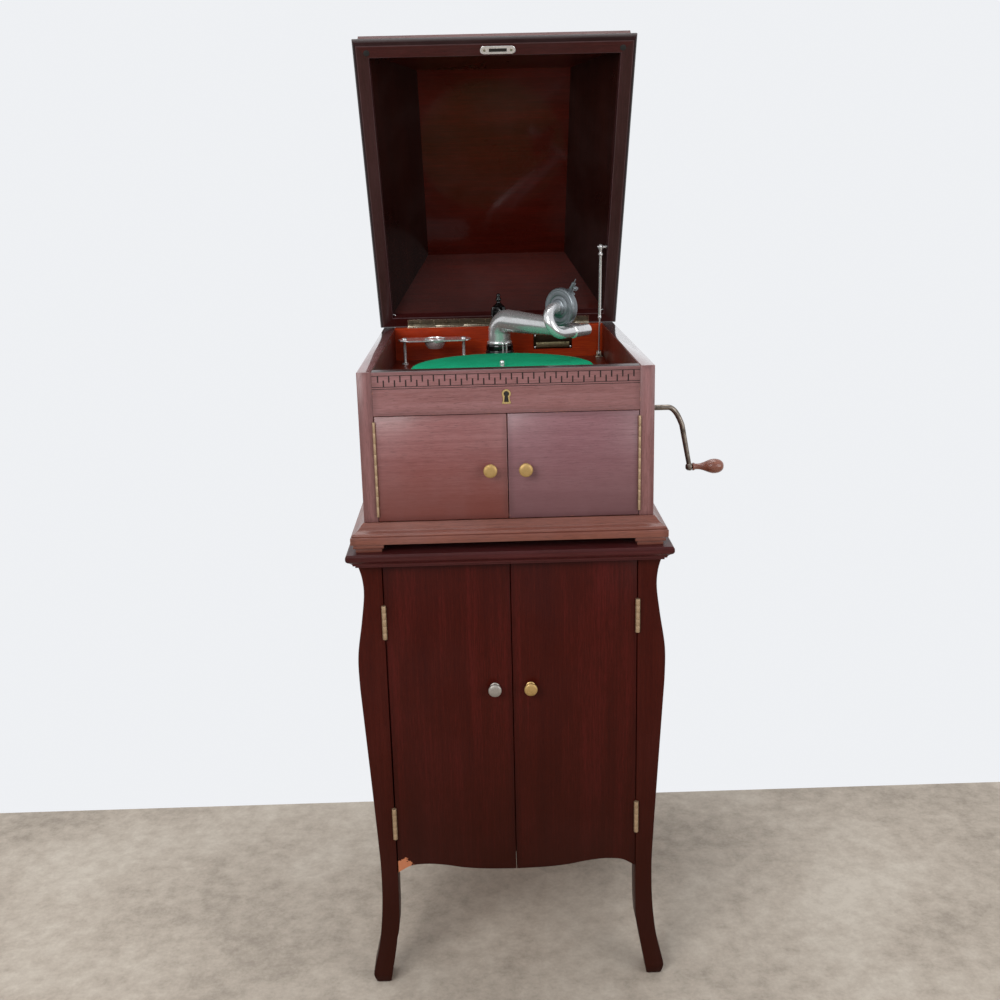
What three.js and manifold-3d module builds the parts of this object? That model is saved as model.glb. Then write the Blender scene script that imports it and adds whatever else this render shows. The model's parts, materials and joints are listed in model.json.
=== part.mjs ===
// A wind-up talking machine in a mahogany case, standing on a record cabinet.
// Millimetres, +Z up, -Y is the front, +X is the crank side.

import * as THREE from 'three';
import { mergeVertices } from 'three/addons/utils/BufferGeometryUtils.js';
import Module from 'manifold-3d';

const wasm = await Module();
wasm.setup();

// ---------------------------------------------------------------- driving dimensions

// Clearances
const touchGap = 0.3;          // between pieces that seat on or turn in each other
const seamGap = 0.9;           // around doors
const lidGap = 1.0;            // between the closed lid and the case

// Case of the machine
const caseWidth = 397;
const caseDepth = 496;
const caseHeight = 207;
const caseWall = 20;
const backWall = 18;
const railHeight = 59.5;
const railThickness = 20;
const upperDoorThickness = 18;
const boardThickness = 12;
const boardDepthBelowTop = 55;
const cleatSize = 12;

// Fret carved in the front rail
const fretTop = 5.5;           // below the top of the rail
const fretHeight = 15;
const fretPitch = 14.8;
const fretStroke = 9;
const fretGroove = 1.9;
const fretDepth = 1.2;
const beadGroove = 0.9;
const beadSpacing = 2.7;

// Plinth under the case
const plinthOverhang = 18.5;
const plinthFascia = 10.5;
const plinthMoulding = 16.5;
const plinthFoot = 12;
const plinthFootSize = 42;
const plinthBoard = 12;
const plinthWall = 12;

// Record cabinet
const standHeight = 687;
const standTopThickness = 21;
const standTopOverhang = 26;
const doorwayHalf = 177.3;     // half the width between the posts
const postDepth = 40;
const standDoorThickness = 18;
const doorBottomShare = 0.265;  // of the stand's height
const sidePanel = 12;
const sidePanelInset = 8;
const standBackThickness = 10;
const floorBoard = 12;
const floorBoardRise = 18;      // above the doors' lower edge
const shelfShare = 0.658;       // of the stand's height
const shelfThickness = 10;
const dividerThickness = 7;
const dividerCount = 3;

// Outer edge of a post: [width beyond the doorway, share of the post's height]
const postOutline = [
  [34, 1], [28.5, 0.97], [27, 0.932], [32, 0.872], [39.5, 0.798], [40, 0.735], [37.5, 0.66],
  [31, 0.485], [26.5, 0.354], [24.5, 0.273], [26, 0.182], [32, 0.096], [41.5, 0.034], [42, 0.018], [38, 0],
];
// Inner edge of the foot below the doors, from the sole upwards
const footOutline = [[17, 0], [13.5, 0.03], [5.5, 0.1], [0, 0.19]];
// How far a foot reaches forward of the doors, and how far its back stays behind them
const toeOutline = [[0, 0.2], [1, 0.14], [4.5, 0.085], [10.5, 0.036], [12.5, 0.02], [10, 0]];
const heelOutline = [[26, 0], [29, 0.04], [36, 0.1], [40, 0.2]];
// Lower edge of a door: [share of its width from the centre, rise]
const scallopOutline = [
  [0, 0], [0.25, 1.2], [0.44, 4.5], [0.6, 9.8], [0.75, 12.3], [0.88, 10.5], [0.96, 3.5], [1, -1],
];

// Knobs and hinges
const knobRadius = 9.5;
const knobReach = 15.5;
const knobFromSeam = 25.5;
const knobCrown = 5.6;          // from the back of the grip to its face
const upperKnobBelowTop = 136;
const standKnobShare = 0.694;   // of the stand's height
const buttLength = 50;
const buttRadius = 3.4;
const buttBelowTop = 85;        // from the door's ends to the hinges' middles
const buttAboveBottom = 82;
const strapRadius = 1.9;       // continuous hinge of the upper doors
const strapMargin = 7;
const leafThickness = 1.5;
const leafWidth = 13;

// Lid
const openAngle = THREE.MathUtils.degToRad(59.5);
const lidInnerDepth = 100;
const lidPanel = 13;
const lidRimWidth = 17;
const lidRimDepth = 13;
const lidPanelInset = 80;      // from the sides to the flat panel
const lidPanelFromFront = 84;
const lidPanelFromHinge = 77;
const lidLip = 6.5;            // how far the edge moulding stands out
const lidBand = 38;            // height of the vertical sides
const lidShoulder = 11;
const lidHingeLength = 314;
const lidHingeRadius = 2.4;
const strikeLength = 51;
const strikeWidth = 12;
const strikeSlot = 5;
const strikeSlotHalf = 11;
const strikeOffset = 4;

// Turntable
const turntableToArm = 9.5;    // from the rim to the tone arm's base
const feltMargin = 2.5;
const feltThickness = 1.6;
const feltBelowTop = 33;
const platterRim = 9;
const platterThickness = 2.4;
const hubRadius = 21;
const spindleRadius = 3.6;
const spindleShare = 0.486;    // of the case's depth, from the front
const spindleAboveFelt = 9;
const spindleBelowBoard = 43;

// Tone arm, gooseneck and sound box
const armPivotFromBack = 76;
const armAboveTop = 17;
const armFall = 5.5;           // from the elbow to the collar
const armSeatBelowTop = 22;
const armSeatThickness = 4.5;
const armSwing = THREE.MathUtils.degToRad(-45);
const armLength = 177;
const armRootRadius = 18.5;
const armTipRadius = 9.4;
const armBend = 22;
const armSeatRadius = 20.8;
const finialHeight = 59;
const finialBehind = 23;
const finialRadius = 13;
const finialShoulder = 30;     // above the case's top
const bracketSole = 4;
const bracketWaist = 12;
const bracketRing = 5;
const boreRise = 20;
const collarRadius = 9.2;
const collarOut = 17;
const collarIn = 16;
const neckRadius = 8.3;
const neckStraight = 27;
const neckBend = 20.6;
const neckLean = THREE.MathUtils.degToRad(-22.8);
const soundBoxRadius = 29.5;
const soundBoxThickness = 12.5;
const soundBoxFromArm = 34;
const needleAngle = THREE.MathUtils.degToRad(30);
const needleReach = 50;
const bracketRadius = 23;
const flangeRadius = 28;

// Crank
const crankFromFront = 230;
const crankBelowTop = 102;
const crankRadius = 4.2;
const crankStraight = 61;      // from the case to the bend
const crankThrow = 95;
const crankLean = 29;
const crankBendShare = 0.2;
const handleLength = 53;
const handleRadius = 11.5;
const escutcheonRadius = 15;

// Lid stay
const stayFromHinge = 146;
const stayDepthInLid = 10;
const stayFromSide = 7.5;
const stayFootFromBack = 31;
const stayFootBelowTop = 49;
const sleeveRadius = 2.3;
const sleeveLength = 122;
const rodRadius = 1.4;
const rodLength = 120;

// Brake
const brakeFromRim = 42.5;
const brakeAngle = THREE.MathUtils.degToRad(-44.1);
const brakeLead = 26;

// Motor
const motorPlate = 4;
const barrelRadius = 30;
const barrelStart = 28;
const barrelLength = 84;
const motorPlateFront = 40;    // from the barrel's axis
const motorPlateBack = 34;     // from the spindle
const barrelCheekHalf = 15;
const governorCheekHalf = 9;
const governorBearing = 20;
const governorDrop = 100;
const governorFromSpindle = 16;
const governorLength = 92;
const ballRadius = 6.2;
const ballOrbit = 16;

// Horn
const hornWall = 5;
const hornThroat = 24;
const hornBend = 50;
const louvreGap = 0.5;
const louvreThickness = 11;

// Needle tray
const trayBelowTop = 13;
const trayLength = 122;
const trayWidth = 44;
const trayFromSide = 70;
const trayPosts = [-51, 48];
const trayFromBack = 66;
const cupRadius = 17;

// ---------------------------------------------------------------- derived levels

const sideX = caseWidth / 2;
const innerX = sideX - caseWall;
const frontY = -caseDepth / 2;
const backY = caseDepth / 2;
const plinthTop = standHeight + plinthFoot + plinthFascia + plinthMoulding;
const caseTop = plinthTop + caseHeight;
const boardTop = caseTop - boardDepthBelowTop;
const boardBottom = boardTop - boardThickness;
const postTop = standHeight - standTopThickness;
const spindleY = frontY + spindleShare * caseDepth;
const feltTop = caseTop - feltBelowTop;
const armPivotY = backY - armPivotFromBack;
const turntableRadius = armPivotY - spindleY - flangeRadius - turntableToArm;
const feltRadius = turntableRadius - feltMargin;
const stayX = innerX - stayFromSide;
const standDoorBottom = doorBottomShare * standHeight;
const shelfLevel = shelfShare * standHeight;
const standKnobLevel = standKnobShare * standHeight;
const floorBoardLevel = standDoorBottom + floorBoardRise;
const crankY = frontY + crankFromFront;
const crankZ = caseTop - crankBelowTop;
const railBottom = caseTop - railHeight;

// ---------------------------------------------------------------- geometry helpers

/** Makes a closed solid of a geometry, with shared corners merged and faces outwards. */
function toSolid(geometry) {
  const bare = geometry.clone();
  bare.deleteAttribute('normal');
  bare.deleteAttribute('uv');
  const merged = mergeVertices(bare, 1e-4);
  const points = merged.attributes.position.array;
  const corners = merged.index.array;
  const kept = [];
  let volume = 0;
  const a = new THREE.Vector3();
  const b = new THREE.Vector3();
  const c = new THREE.Vector3();
  for (let i = 0; i < corners.length; i += 3) {
    const [p, q, r] = corners.slice(i, i + 3);
    if (p === q || q === r || r === p) continue;
    a.fromArray(points, 3 * p);
    b.fromArray(points, 3 * q);
    c.fromArray(points, 3 * r);
    volume += a.dot(b.cross(c));
    kept.push(p, q, r);
  }
  if (volume < 0) kept.reverse();
  return new wasm.Manifold(new wasm.Mesh({
    numProp: 3,
    vertProperties: Float32Array.from(points),
    triVerts: Uint32Array.from(kept),
  }));
}

/** Turns a solid back into a geometry that a mesh can show. */
function toGeometry(solid) {
  const mesh = solid.getMesh();
  const geometry = new THREE.BufferGeometry();
  geometry.setAttribute('position', new THREE.BufferAttribute(mesh.vertProperties, 3));
  geometry.setIndex(new THREE.BufferAttribute(mesh.triVerts, 1));
  geometry.computeVertexNormals();
  return geometry;
}

/** A box between two corners. */
function box(x0, x1, y0, y1, z0, z1) {
  const geometry = new THREE.BoxGeometry(x1 - x0, y1 - y0, z1 - z0);
  geometry.translate((x0 + x1) / 2, (y0 + y1) / 2, (z0 + z1) / 2);
  return toSolid(geometry);
}

/** An outline drawn in X and Z, made thick from y0 to y1. */
function standingPlate(shape, y0, y1, curveSegments = 12) {
  const geometry = new THREE.ExtrudeGeometry(shape, { depth: y1 - y0, bevelEnabled: false, curveSegments });
  geometry.rotateX(Math.PI / 2);
  geometry.translate(0, y1, 0);
  return toSolid(geometry);
}

/** An outline drawn in X and Y, made thick from z0 to z1. */
function flatPlate(shape, z0, z1, curveSegments = 12) {
  const geometry = new THREE.ExtrudeGeometry(shape, { depth: z1 - z0, bevelEnabled: false, curveSegments });
  geometry.translate(0, 0, z0);
  return toSolid(geometry);
}

/** A profile of [radius, height] pairs turned about Z. */
function turned(profile, segments = 32) {
  const points = profile.map(([radius, height]) => new THREE.Vector2(radius, height));
  const geometry = new THREE.LatheGeometry(points, segments);
  geometry.rotateX(Math.PI / 2);
  return toSolid(geometry);
}

/** A plain rod of a radius from z0 to z1 about Z. */
function rod(radius, z0, z1, segments = 20) {
  return turned([[0, z0], [radius, z0], [radius, z1], [0, z1]], segments);
}

/** A round tube or bar carried along a curve. */
function swept(path, radius, steps, sides = 16) {
  const section = new THREE.Shape().absarc(0, 0, radius, 0, 2 * Math.PI);
  const options = { steps, bevelEnabled: false, curveSegments: sides / 2, extrudePath: path };
  return toSolid(new THREE.ExtrudeGeometry(section, options));
}

/** A closed solid through rings of points, each ring with the same number of points. */
function lofted(rings) {
  const count = rings[0].length;
  const positions = rings.flat().flatMap((point) => point.toArray());
  const index = [];
  for (let ring = 0; ring < rings.length - 1; ring += 1) {
    for (let i = 0; i < count; i += 1) {
      const a = ring * count + i;
      const b = ring * count + ((i + 1) % count);
      index.push(a, b, b + count, a, b + count, a + count);
    }
  }
  const last = (rings.length - 1) * count;
  for (let i = 1; i < count - 1; i += 1) {
    index.push(0, i + 1, i);
    index.push(last, last + i, last + i + 1);
  }
  const geometry = new THREE.BufferGeometry();
  geometry.setAttribute('position', new THREE.Float32BufferAttribute(positions, 3));
  geometry.setIndex(index);
  return toSolid(geometry);
}

/** A moulded block: rectangles that stand out from a base by each overhang, one above another. */
function mouldedBlock(halfX, y0, y1, levels) {
  return lofted(levels.map(([overhang, z]) => [
    new THREE.Vector3(-halfX - overhang, y0 - overhang, z),
    new THREE.Vector3(halfX + overhang, y0 - overhang, z),
    new THREE.Vector3(halfX + overhang, y1 + overhang, z),
    new THREE.Vector3(-halfX - overhang, y1 + overhang, z),
  ]));
}

/** Joins several solids into one. */
const joined = (...solids) => wasm.Manifold.union(solids);

/** Moves, and first turns, a solid by degrees about X, Y and Z. */
const placed = (solid, position, turn = [0, 0, 0]) => solid.rotate(turn).translate(position);

/** A solid turned about Z laid down so that its axis points along +X. */
const alongX = (solid) => solid.rotate([0, 90, 0]);

/** A solid turned about Z stood so that its axis points to the front. */
const toFront = (solid) => solid.rotate([90, 0, 0]);

const mirroredX = (solid) => solid.mirror([1, 0, 0]);
const mirroredY = (solid) => solid.mirror([0, 1, 0]);

// ---------------------------------------------------------------- finishes

const finishes = {
  mahogany: { color: 0x6e2f26, roughness: 0.42, metalness: 0 },
  darkMahogany: { color: 0x3b1713, roughness: 0.38, metalness: 0 },
  bareWood: { color: 0x9a6a42, roughness: 0.7, metalness: 0 },
  felt: { color: 0x1f9b63, roughness: 0.95, metalness: 0 },
  nickel: { color: 0xc9c6c0, roughness: 0.18, metalness: 1 },
  brass: { color: 0xb08d4c, roughness: 0.35, metalness: 1 },
  steel: { color: 0x6f6a66, roughness: 0.4, metalness: 1 },
  castIron: { color: 0x24211f, roughness: 0.6, metalness: 0.6 },
};

const cabinet = new THREE.Group();

/** Adds one named piece to a group. */
function addPiece(name, solid, finish, parent = cabinet) {
  const mesh = new THREE.Mesh(toGeometry(solid), new THREE.MeshStandardMaterial(finishes[finish]));
  mesh.name = name;
  parent.add(mesh);
}

// ---------------------------------------------------------------- shared small pieces

/** A turned knob with its rose, standing out from a front face at y. */
function knob(x, y, z) {
  const stem = knobReach - knobCrown;
  const profile = [
    [0, 0], [7, 0], [7, 1], [4.6, 2], [3.6, 4], [3.9, stem - 1.5], [knobRadius - 1.4, stem],
    [knobRadius, stem + 1.2], [knobRadius, stem + 3.2], [knobRadius - 0.9, stem + 4.4],
    [knobRadius * 0.6, stem + 5.3], [0, stem + knobCrown],
  ];
  return placed(toFront(turned(profile, 16)), [x, y - touchGap, z]);
}

/**
 * The two leaves of a butt or strap hinge whose pin stands upright in front of a seam.
 * The fixed leaf goes to the side that `side` names, the moving leaf to the other.
 */
function uprightHinge({ side, seamX, pinY, z0, z1, radius, knuckles, faceY, width }) {
  const knuckle = (z1 - z0) / knuckles;
  const leaves = [[], []];
  for (let i = 0; i < knuckles; i += 1) {
    const low = z0 + i * knuckle + (i ? touchGap / 2 : 0);
    const high = z0 + (i + 1) * knuckle - (i < knuckles - 1 ? touchGap / 2 : 0);
    leaves[i % 2].push(placed(rod(radius, low, high, 14), [seamX, pinY, 0]));
  }
  const flat = (direction, margin) => {
    const near = seamX + direction * touchGap;
    const far = near + direction * (leafThickness - margin);
    const y0 = pinY;
    return box(Math.min(near, far), Math.max(near, far), y0, faceY + width, z0, z1);
  };
  const plates = [flat(side, 0), flat(-side, 0)];
  return leaves.map((parts, index) => {
    const others = leaves[1 - index];
    const room = joined(...others.map((other) => clearanceAround(other, seamX, pinY, radius)));
    return joined(plates[index].subtract(room), ...parts);
  });
}

/** The space that a knuckle sweeps, wider and longer than the knuckle by a working gap. */
function clearanceAround(knuckleSolid, x, y, radius) {
  const { min, max } = knuckleSolid.boundingBox();
  const end = 1.5 * touchGap;
  return placed(rod(radius + touchGap, min[2] - end, max[2] + end, 14), [x, y, 0]);
}

/** What a hinge needs cut away: room for its barrel and a bed for a leaf on one side. */
function hingeBed({ direction, seamX, pinY, z0, z1, radius, faceY, width }) {
  const low = z0 - touchGap;
  const high = z1 + touchGap;
  const bed = leafThickness + 2 * touchGap;
  const far = seamX + direction * bed;
  const barrel = placed(rod(radius + 2 * touchGap, low, high, 14), [seamX, pinY, 0]);
  const leafBed = box(
    Math.min(seamX, far), Math.max(seamX, far), pinY, faceY + width + touchGap, low, high,
  );
  return joined(barrel, leafBed);
}

// ---------------------------------------------------------------- record cabinet

const postInner = doorwayHalf + seamGap / 2;
const postHeight = postTop;
const standDoorTop = postTop - seamGap;
const sidePanelX = postInner + sidePanelInset;
const rackHalf = sidePanelX;

const buttHinges = [standDoorTop - buttBelowTop, standDoorBottom + buttAboveBottom].map((level) => ({
  seamX: doorwayHalf + seamGap / 2,
  pinY: frontY - 1.6,
  z0: level - buttLength / 2,
  z1: level + buttLength / 2,
  radius: buttRadius,
  faceY: frontY,
  width: leafWidth,
}));

/** Points of a smooth curve through keys. */
const smooth = (keys, divisions) => new THREE.SplineCurve(keys).getPoints(divisions);

function postShape() {
  const outer = smooth(
    postOutline.map(([width, share]) => new THREE.Vector2(postInner + width, postHeight * share)), 44,
  );
  const inner = smooth(
    footOutline.map(([width, share]) => new THREE.Vector2(postInner + width, postHeight * share)), 9,
  );
  return new THREE.Shape([...outer, ...inner, new THREE.Vector2(postInner, postHeight)]);
}

/** The post seen from the side: straight at the back and front, with a foot that turns forward. */
function postSideShape() {
  const toe = smooth(toeOutline.map(([reach, share]) => new THREE.Vector2(-reach, postHeight * share)), 12);
  const heel = smooth(heelOutline.map(([depth, share]) => new THREE.Vector2(depth, postHeight * share)), 8);
  return new THREE.Shape([
    new THREE.Vector2(0, postHeight), ...toe, ...heel, new THREE.Vector2(postDepth, postHeight),
  ]);
}

function buildPosts() {
  const toe = Math.max(...toeOutline.map(([reach]) => reach)) + 1;
  const sides = standingPlate(postSideShape(), -(sideX + postDepth), -innerX + postDepth)
    .rotate([0, 0, 90]).translate([0, frontY, 0]);
  const plain = standingPlate(postShape(), frontY - toe, frontY + postDepth).intersect(sides);
  const beds = buttHinges.map((hinge) => hingeBed({ direction: 1, ...hinge }));
  const front = plain.subtract(joined(...beds));
  const rear = mirroredY(plain);
  addPiece('stand_leg_front_right', front, 'darkMahogany');
  addPiece('stand_leg_front_left', mirroredX(front), 'darkMahogany');
  addPiece('stand_leg_rear_right', rear, 'darkMahogany');
  addPiece('stand_leg_rear_left', mirroredX(rear), 'darkMahogany');
}

function buildStandPanels() {
  const length = 2 * (backY - postDepth);
  const bottom = standDoorBottom;
  const outline = new THREE.Shape();
  outline.moveTo(-length / 2, bottom);
  outline.quadraticCurveTo(0, bottom + 26, length / 2, bottom);
  outline.lineTo(length / 2, postTop);
  outline.lineTo(-length / 2, postTop);
  const side = standingPlate(outline, 0, sidePanel, 14).rotate([0, 0, 90]).translate([sidePanelX + sidePanel, 0, 0]);
  addPiece('stand_side_right', side, 'darkMahogany');
  addPiece('stand_side_left', mirroredX(side), 'darkMahogany');
  const back = box(-postInner, postInner, backY - standBackThickness - 4, backY - 4, bottom, postTop);
  addPiece('stand_back', back, 'darkMahogany');
}

function buildStandTop() {
  const over = standTopOverhang;
  const t = standTopThickness;
  const levels = [
    [over - 12, 0], [over - 12, 0.13], [over - 8.8, 0.16], [over - 8.4, 0.26], [over - 6, 0.38],
    [over - 2.2, 0.5], [over - 0.5, 0.6], [over, 0.7], [over, 0.82], [over - 0.7, 0.93], [over - 2.2, 1],
  ].map(([overhang, share]) => [overhang, postTop + t * share]);
  addPiece('stand_top', mouldedBlock(sideX, frontY, backY, levels), 'darkMahogany');
}

/** A board that fills the cabinet and is notched round the four posts. */
function notchedBoard(y0, y1, z0, z1) {
  const notch = frontY + postDepth + touchGap;
  const core = box(-rackHalf, rackHalf, notch, -notch, z0, z1);
  const middle = postInner - touchGap;
  return joined(core, box(-middle, middle, y0, y1, z0, z1));
}

function buildStandInside() {
  const y0 = frontY + standDoorThickness + 1.5;
  const y1 = backY - standBackThickness - 4;
  const floorTop = floorBoardLevel + floorBoard;
  const floor = notchedBoard(y0, y1, floorBoardLevel, floorTop);
  const shelf = notchedBoard(y0 + 12, y1, shelfLevel, shelfLevel + shelfThickness);
  const spacing = (2 * postInner) / (dividerCount + 1);
  const dividers = [];
  for (let i = 1; i <= dividerCount; i += 1) {
    const x = -postInner + i * spacing;
    const half = dividerThickness / 2;
    dividers.push(box(x - half, x + half, y0 + 20, y1, floorTop - 1, shelfLevel + 1));
  }
  addPiece('record_rack', joined(floor, shelf, ...dividers), 'bareWood');
}

function standDoorShape() {
  const near = seamGap / 2;
  const far = doorwayHalf - seamGap / 2;
  const keys = scallopOutline.map(
    ([share, rise]) => new THREE.Vector2(near + share * (far - near), standDoorBottom + rise),
  );
  const edge = smooth(keys, 26);
  return new THREE.Shape([...edge, new THREE.Vector2(far, standDoorTop), new THREE.Vector2(near, standDoorTop)]);
}

function buildStandDoors() {
  const panel = standingPlate(standDoorShape(), frontY, frontY + standDoorThickness);
  const doorEdge = { direction: -1 };
  const beds = buttHinges.map((hinge) => hingeBed({ ...hinge, ...doorEdge, seamX: hinge.seamX }));
  const door = panel.subtract(joined(...beds));
  const standKnob = knob(knobFromSeam, frontY, standKnobLevel);
  addPiece('stand_door_right', door, 'darkMahogany');
  addPiece('stand_door_left', mirroredX(door), 'darkMahogany');
  addPiece('stand_knob_right', standKnob, 'brass');
  addPiece('stand_knob_left', mirroredX(standKnob), 'nickel');
  buttHinges.forEach((hinge, index) => {
    const place = index === 0 ? 'upper' : 'lower';
    const [fixed, moving] = uprightHinge({ side: 1, knuckles: 3, ...hinge });
    addPiece(`stand_hinge_${place}_right_fixed`, fixed, 'brass');
    addPiece(`stand_hinge_${place}_right_leaf`, moving, 'brass');
    addPiece(`stand_hinge_${place}_left_fixed`, mirroredX(fixed), 'brass');
    addPiece(`stand_hinge_${place}_left_leaf`, mirroredX(moving), 'brass');
  });
}

// ---------------------------------------------------------------- case

const upperDoorTop = railBottom - seamGap;
const upperDoorBottom = plinthTop + seamGap;
const strapHinge = {
  seamX: innerX,
  pinY: frontY - 1.1,
  z0: upperDoorBottom + strapMargin,
  z1: upperDoorTop - strapMargin,
  radius: strapRadius,
  faceY: frontY,
  width: leafWidth,
};

/** The bed of a flat leaf of the lid's hinge, cut down from a level. */
const lidLeafWidth = 13;

function buildCaseBoards() {
  const board = box(innerX, sideX, frontY, backY, plinthTop, caseTop);
  const cleat = box(
    innerX - cleatSize, innerX + 1, frontY + railThickness, backY - backWall,
    boardBottom - cleatSize, boardBottom,
  );
  const side = joined(board, cleat).subtract(hingeBed({ direction: 1, ...strapHinge }));
  const crankHole = placed(alongX(rod(crankRadius + 4, 0, 3 * caseWall)), [innerX - caseWall, crankY, crankZ]);
  const flangeBed = placed(
    alongX(rod(escutcheonRadius + touchGap, 0, 2, 28)), [sideX - 1, crankY, crankZ],
  );
  addPiece('case_side_right', side.subtract(joined(crankHole, flangeBed)), 'mahogany');
  addPiece('case_side_left', mirroredX(side), 'mahogany');

  const back = box(-innerX, innerX, backY - backWall, backY, plinthTop, caseTop);
  const half = lidHingeLength / 2 + touchGap;
  const bedY = backY - lidLeafWidth - touchGap;
  const leafBed = box(-half, half, bedY, backY + 1, caseTop - leafThickness - touchGap, caseTop + 1);
  const barrelRoom = placed(
    alongX(rod(lidHingeRadius + 2 * touchGap, -half, half, 14)), [0, backY + lidGap, caseTop + lidGap / 2],
  );
  addPiece('case_back', back.subtract(joined(leafBed, barrelRoom)), 'mahogany');
}

/** Straight grooves of the fret: strokes from above and below, and the lines that bound them. */
function fretCutters() {
  const bandTop = caseTop - fretTop;
  const bandBottom = bandTop - fretHeight;
  const face = frontY - 1;
  const deep = frontY + fretDepth;
  const repeats = Math.floor((2 * innerX - fretPitch) / fretPitch);
  const start = -(repeats * fretPitch) / 2;
  const cutters = [];
  for (let i = 0; i <= repeats; i += 1) {
    const x = start + i * fretPitch;
    const half = fretGroove / 2;
    cutters.push(box(x - half, x + half, face, deep, bandTop - fretStroke, bandTop + beadGroove / 2));
    if (i === repeats) break;
    const low = x + fretPitch / 2;
    cutters.push(box(low - half, low + half, face, deep, bandBottom - beadGroove / 2, bandBottom + fretStroke));
  }
  for (const z of [bandTop, bandBottom, bandBottom - beadSpacing]) {
    cutters.push(box(-innerX - 1, innerX + 1, face, deep, z - beadGroove / 2, z + beadGroove / 2));
  }
  return cutters;
}

/** A keyhole plate's outline: a round top over a flared skirt, centred on x and z. */
function keyPlateShape(x, z, grow = 0) {
  const width = 6 + grow;
  const shape = new THREE.Shape();
  shape.moveTo(x - width, z - 9.5 - grow);
  shape.quadraticCurveTo(x, z - 10.7 - grow, x + width, z - 9.5 - grow);
  shape.quadraticCurveTo(x + width * 0.62, z - 3, x + width * 0.7, z);
  shape.absarc(x, z + 3.6, width, -0.45, Math.PI + 0.45, false);
  shape.quadraticCurveTo(x - width * 0.62, z - 3, x - width, z - 9.5 - grow);
  return shape;
}

function keyHoleShape(x, z) {
  const hole = new THREE.Path();
  hole.moveTo(x - 3.2, z - 7.6);
  hole.lineTo(x + 3.2, z - 7.6);
  hole.lineTo(x + 2, z + 0.6);
  hole.absarc(x, z + 3.5, 3.7, -0.9, Math.PI + 0.9, false);
  hole.lineTo(x - 3.2, z - 7.6);
  return hole;
}

function buildFrontRail() {
  const profile = new THREE.Shape();
  const depth = railThickness;
  profile.moveTo(0, 0);
  profile.lineTo(depth, 0);
  profile.lineTo(depth, railHeight - 2);
  profile.lineTo(depth - 2, railHeight);
  profile.lineTo(2.5, railHeight);
  profile.quadraticCurveTo(0, railHeight, 0, railHeight - 2.5);
  const options = { depth: 2 * innerX, bevelEnabled: false, curveSegments: 4 };
  const geometry = new THREE.ExtrudeGeometry(profile, options);
  geometry.rotateX(Math.PI / 2);
  geometry.rotateZ(Math.PI / 2);
  geometry.translate(-innerX, frontY, railBottom);
  const rail = toSolid(geometry);
  const keyZ = caseTop - 37;
  const plate = keyPlateShape(0, keyZ);
  plate.holes.push(keyHoleShape(0, keyZ));
  const bed = standingPlate(keyPlateShape(0, keyZ, touchGap), frontY - 1, frontY + 0.9, 8);
  addPiece('front_rail', rail.subtract(joined(...fretCutters(), bed)), 'mahogany');
  addPiece('key_escutcheon', standingPlate(plate, frontY - 0.8, frontY + 0.6, 8), 'brass');
}

function buildPlinth() {
  const base = standHeight + plinthFoot;
  const shoulder = base + plinthFascia;
  const over = plinthOverhang;
  const rise = plinthMoulding;
  const levels = [
    [over - 1, base], [over, base + 1], [over, shoulder - 1], [over - 0.8, shoulder], [over - 2.6, shoulder],
    [over - 2, shoulder + 0.1 * rise], [over - 3.6, shoulder + 0.24 * rise],
    [over * 0.52, shoulder + 0.42 * rise], [over * 0.34, shoulder + 0.62 * rise],
    [over * 0.2, shoulder + 0.84 * rise], [1.2, plinthTop],
  ];
  const under = plinthTop - plinthBoard;
  const hollowX = sideX - plinthWall;
  const hollowY = backY - plinthWall;
  const hollow = box(-hollowX, hollowX, -hollowY, hollowY, base - 1, under);
  const block = mouldedBlock(sideX, frontY, backY, levels).subtract(hollow);
  const feet = [];
  const size = plinthFootSize;
  const footX = sideX + over - 3;
  const footY = backY + over - 3;
  for (const sx of [-1, 1]) {
    for (const sy of [-1, 1]) {
      const x = sx * (footX - size / 2);
      const y = sy * (footY - size / 2);
      const step = 3;
      const middle = standHeight + plinthFoot / 2;
      const wide = size / 2;
      const slim = wide - step;
      feet.push(box(x - wide, x + wide, y - wide, y + wide, middle, base + 1));
      feet.push(box(x - slim, x + slim, y - slim, y + slim, standHeight, middle + 1));
      const cornerX = sx * (hollowX - size / 4);
      const cornerY = sy * (hollowY - size / 4);
      const quarter = size / 4 + 1;
      feet.push(box(
        cornerX - quarter, cornerX + quarter, cornerY - quarter, cornerY + quarter, standHeight + 1, under + 1,
      ));
    }
  }
  addPiece('plinth', joined(block, ...feet), 'mahogany');
}

function buildMotorBoard() {
  const y0 = frontY + railThickness;
  const y1 = backY - backWall;
  const board = box(-innerX, innerX, y0, y1, boardBottom, boardTop);
  const spindleHole = placed(rod(spindleRadius + 3, boardBottom - 1, boardTop + 1), [0, spindleY, 0]);
  const hornHole = placed(rod(hornThroat - hornWall, boardBottom - 1, boardTop + 1, 28), [0, armPivotY, 0]);
  addPiece('motor_board', board.subtract(joined(spindleHole, hornHole)), 'mahogany');
}

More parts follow.
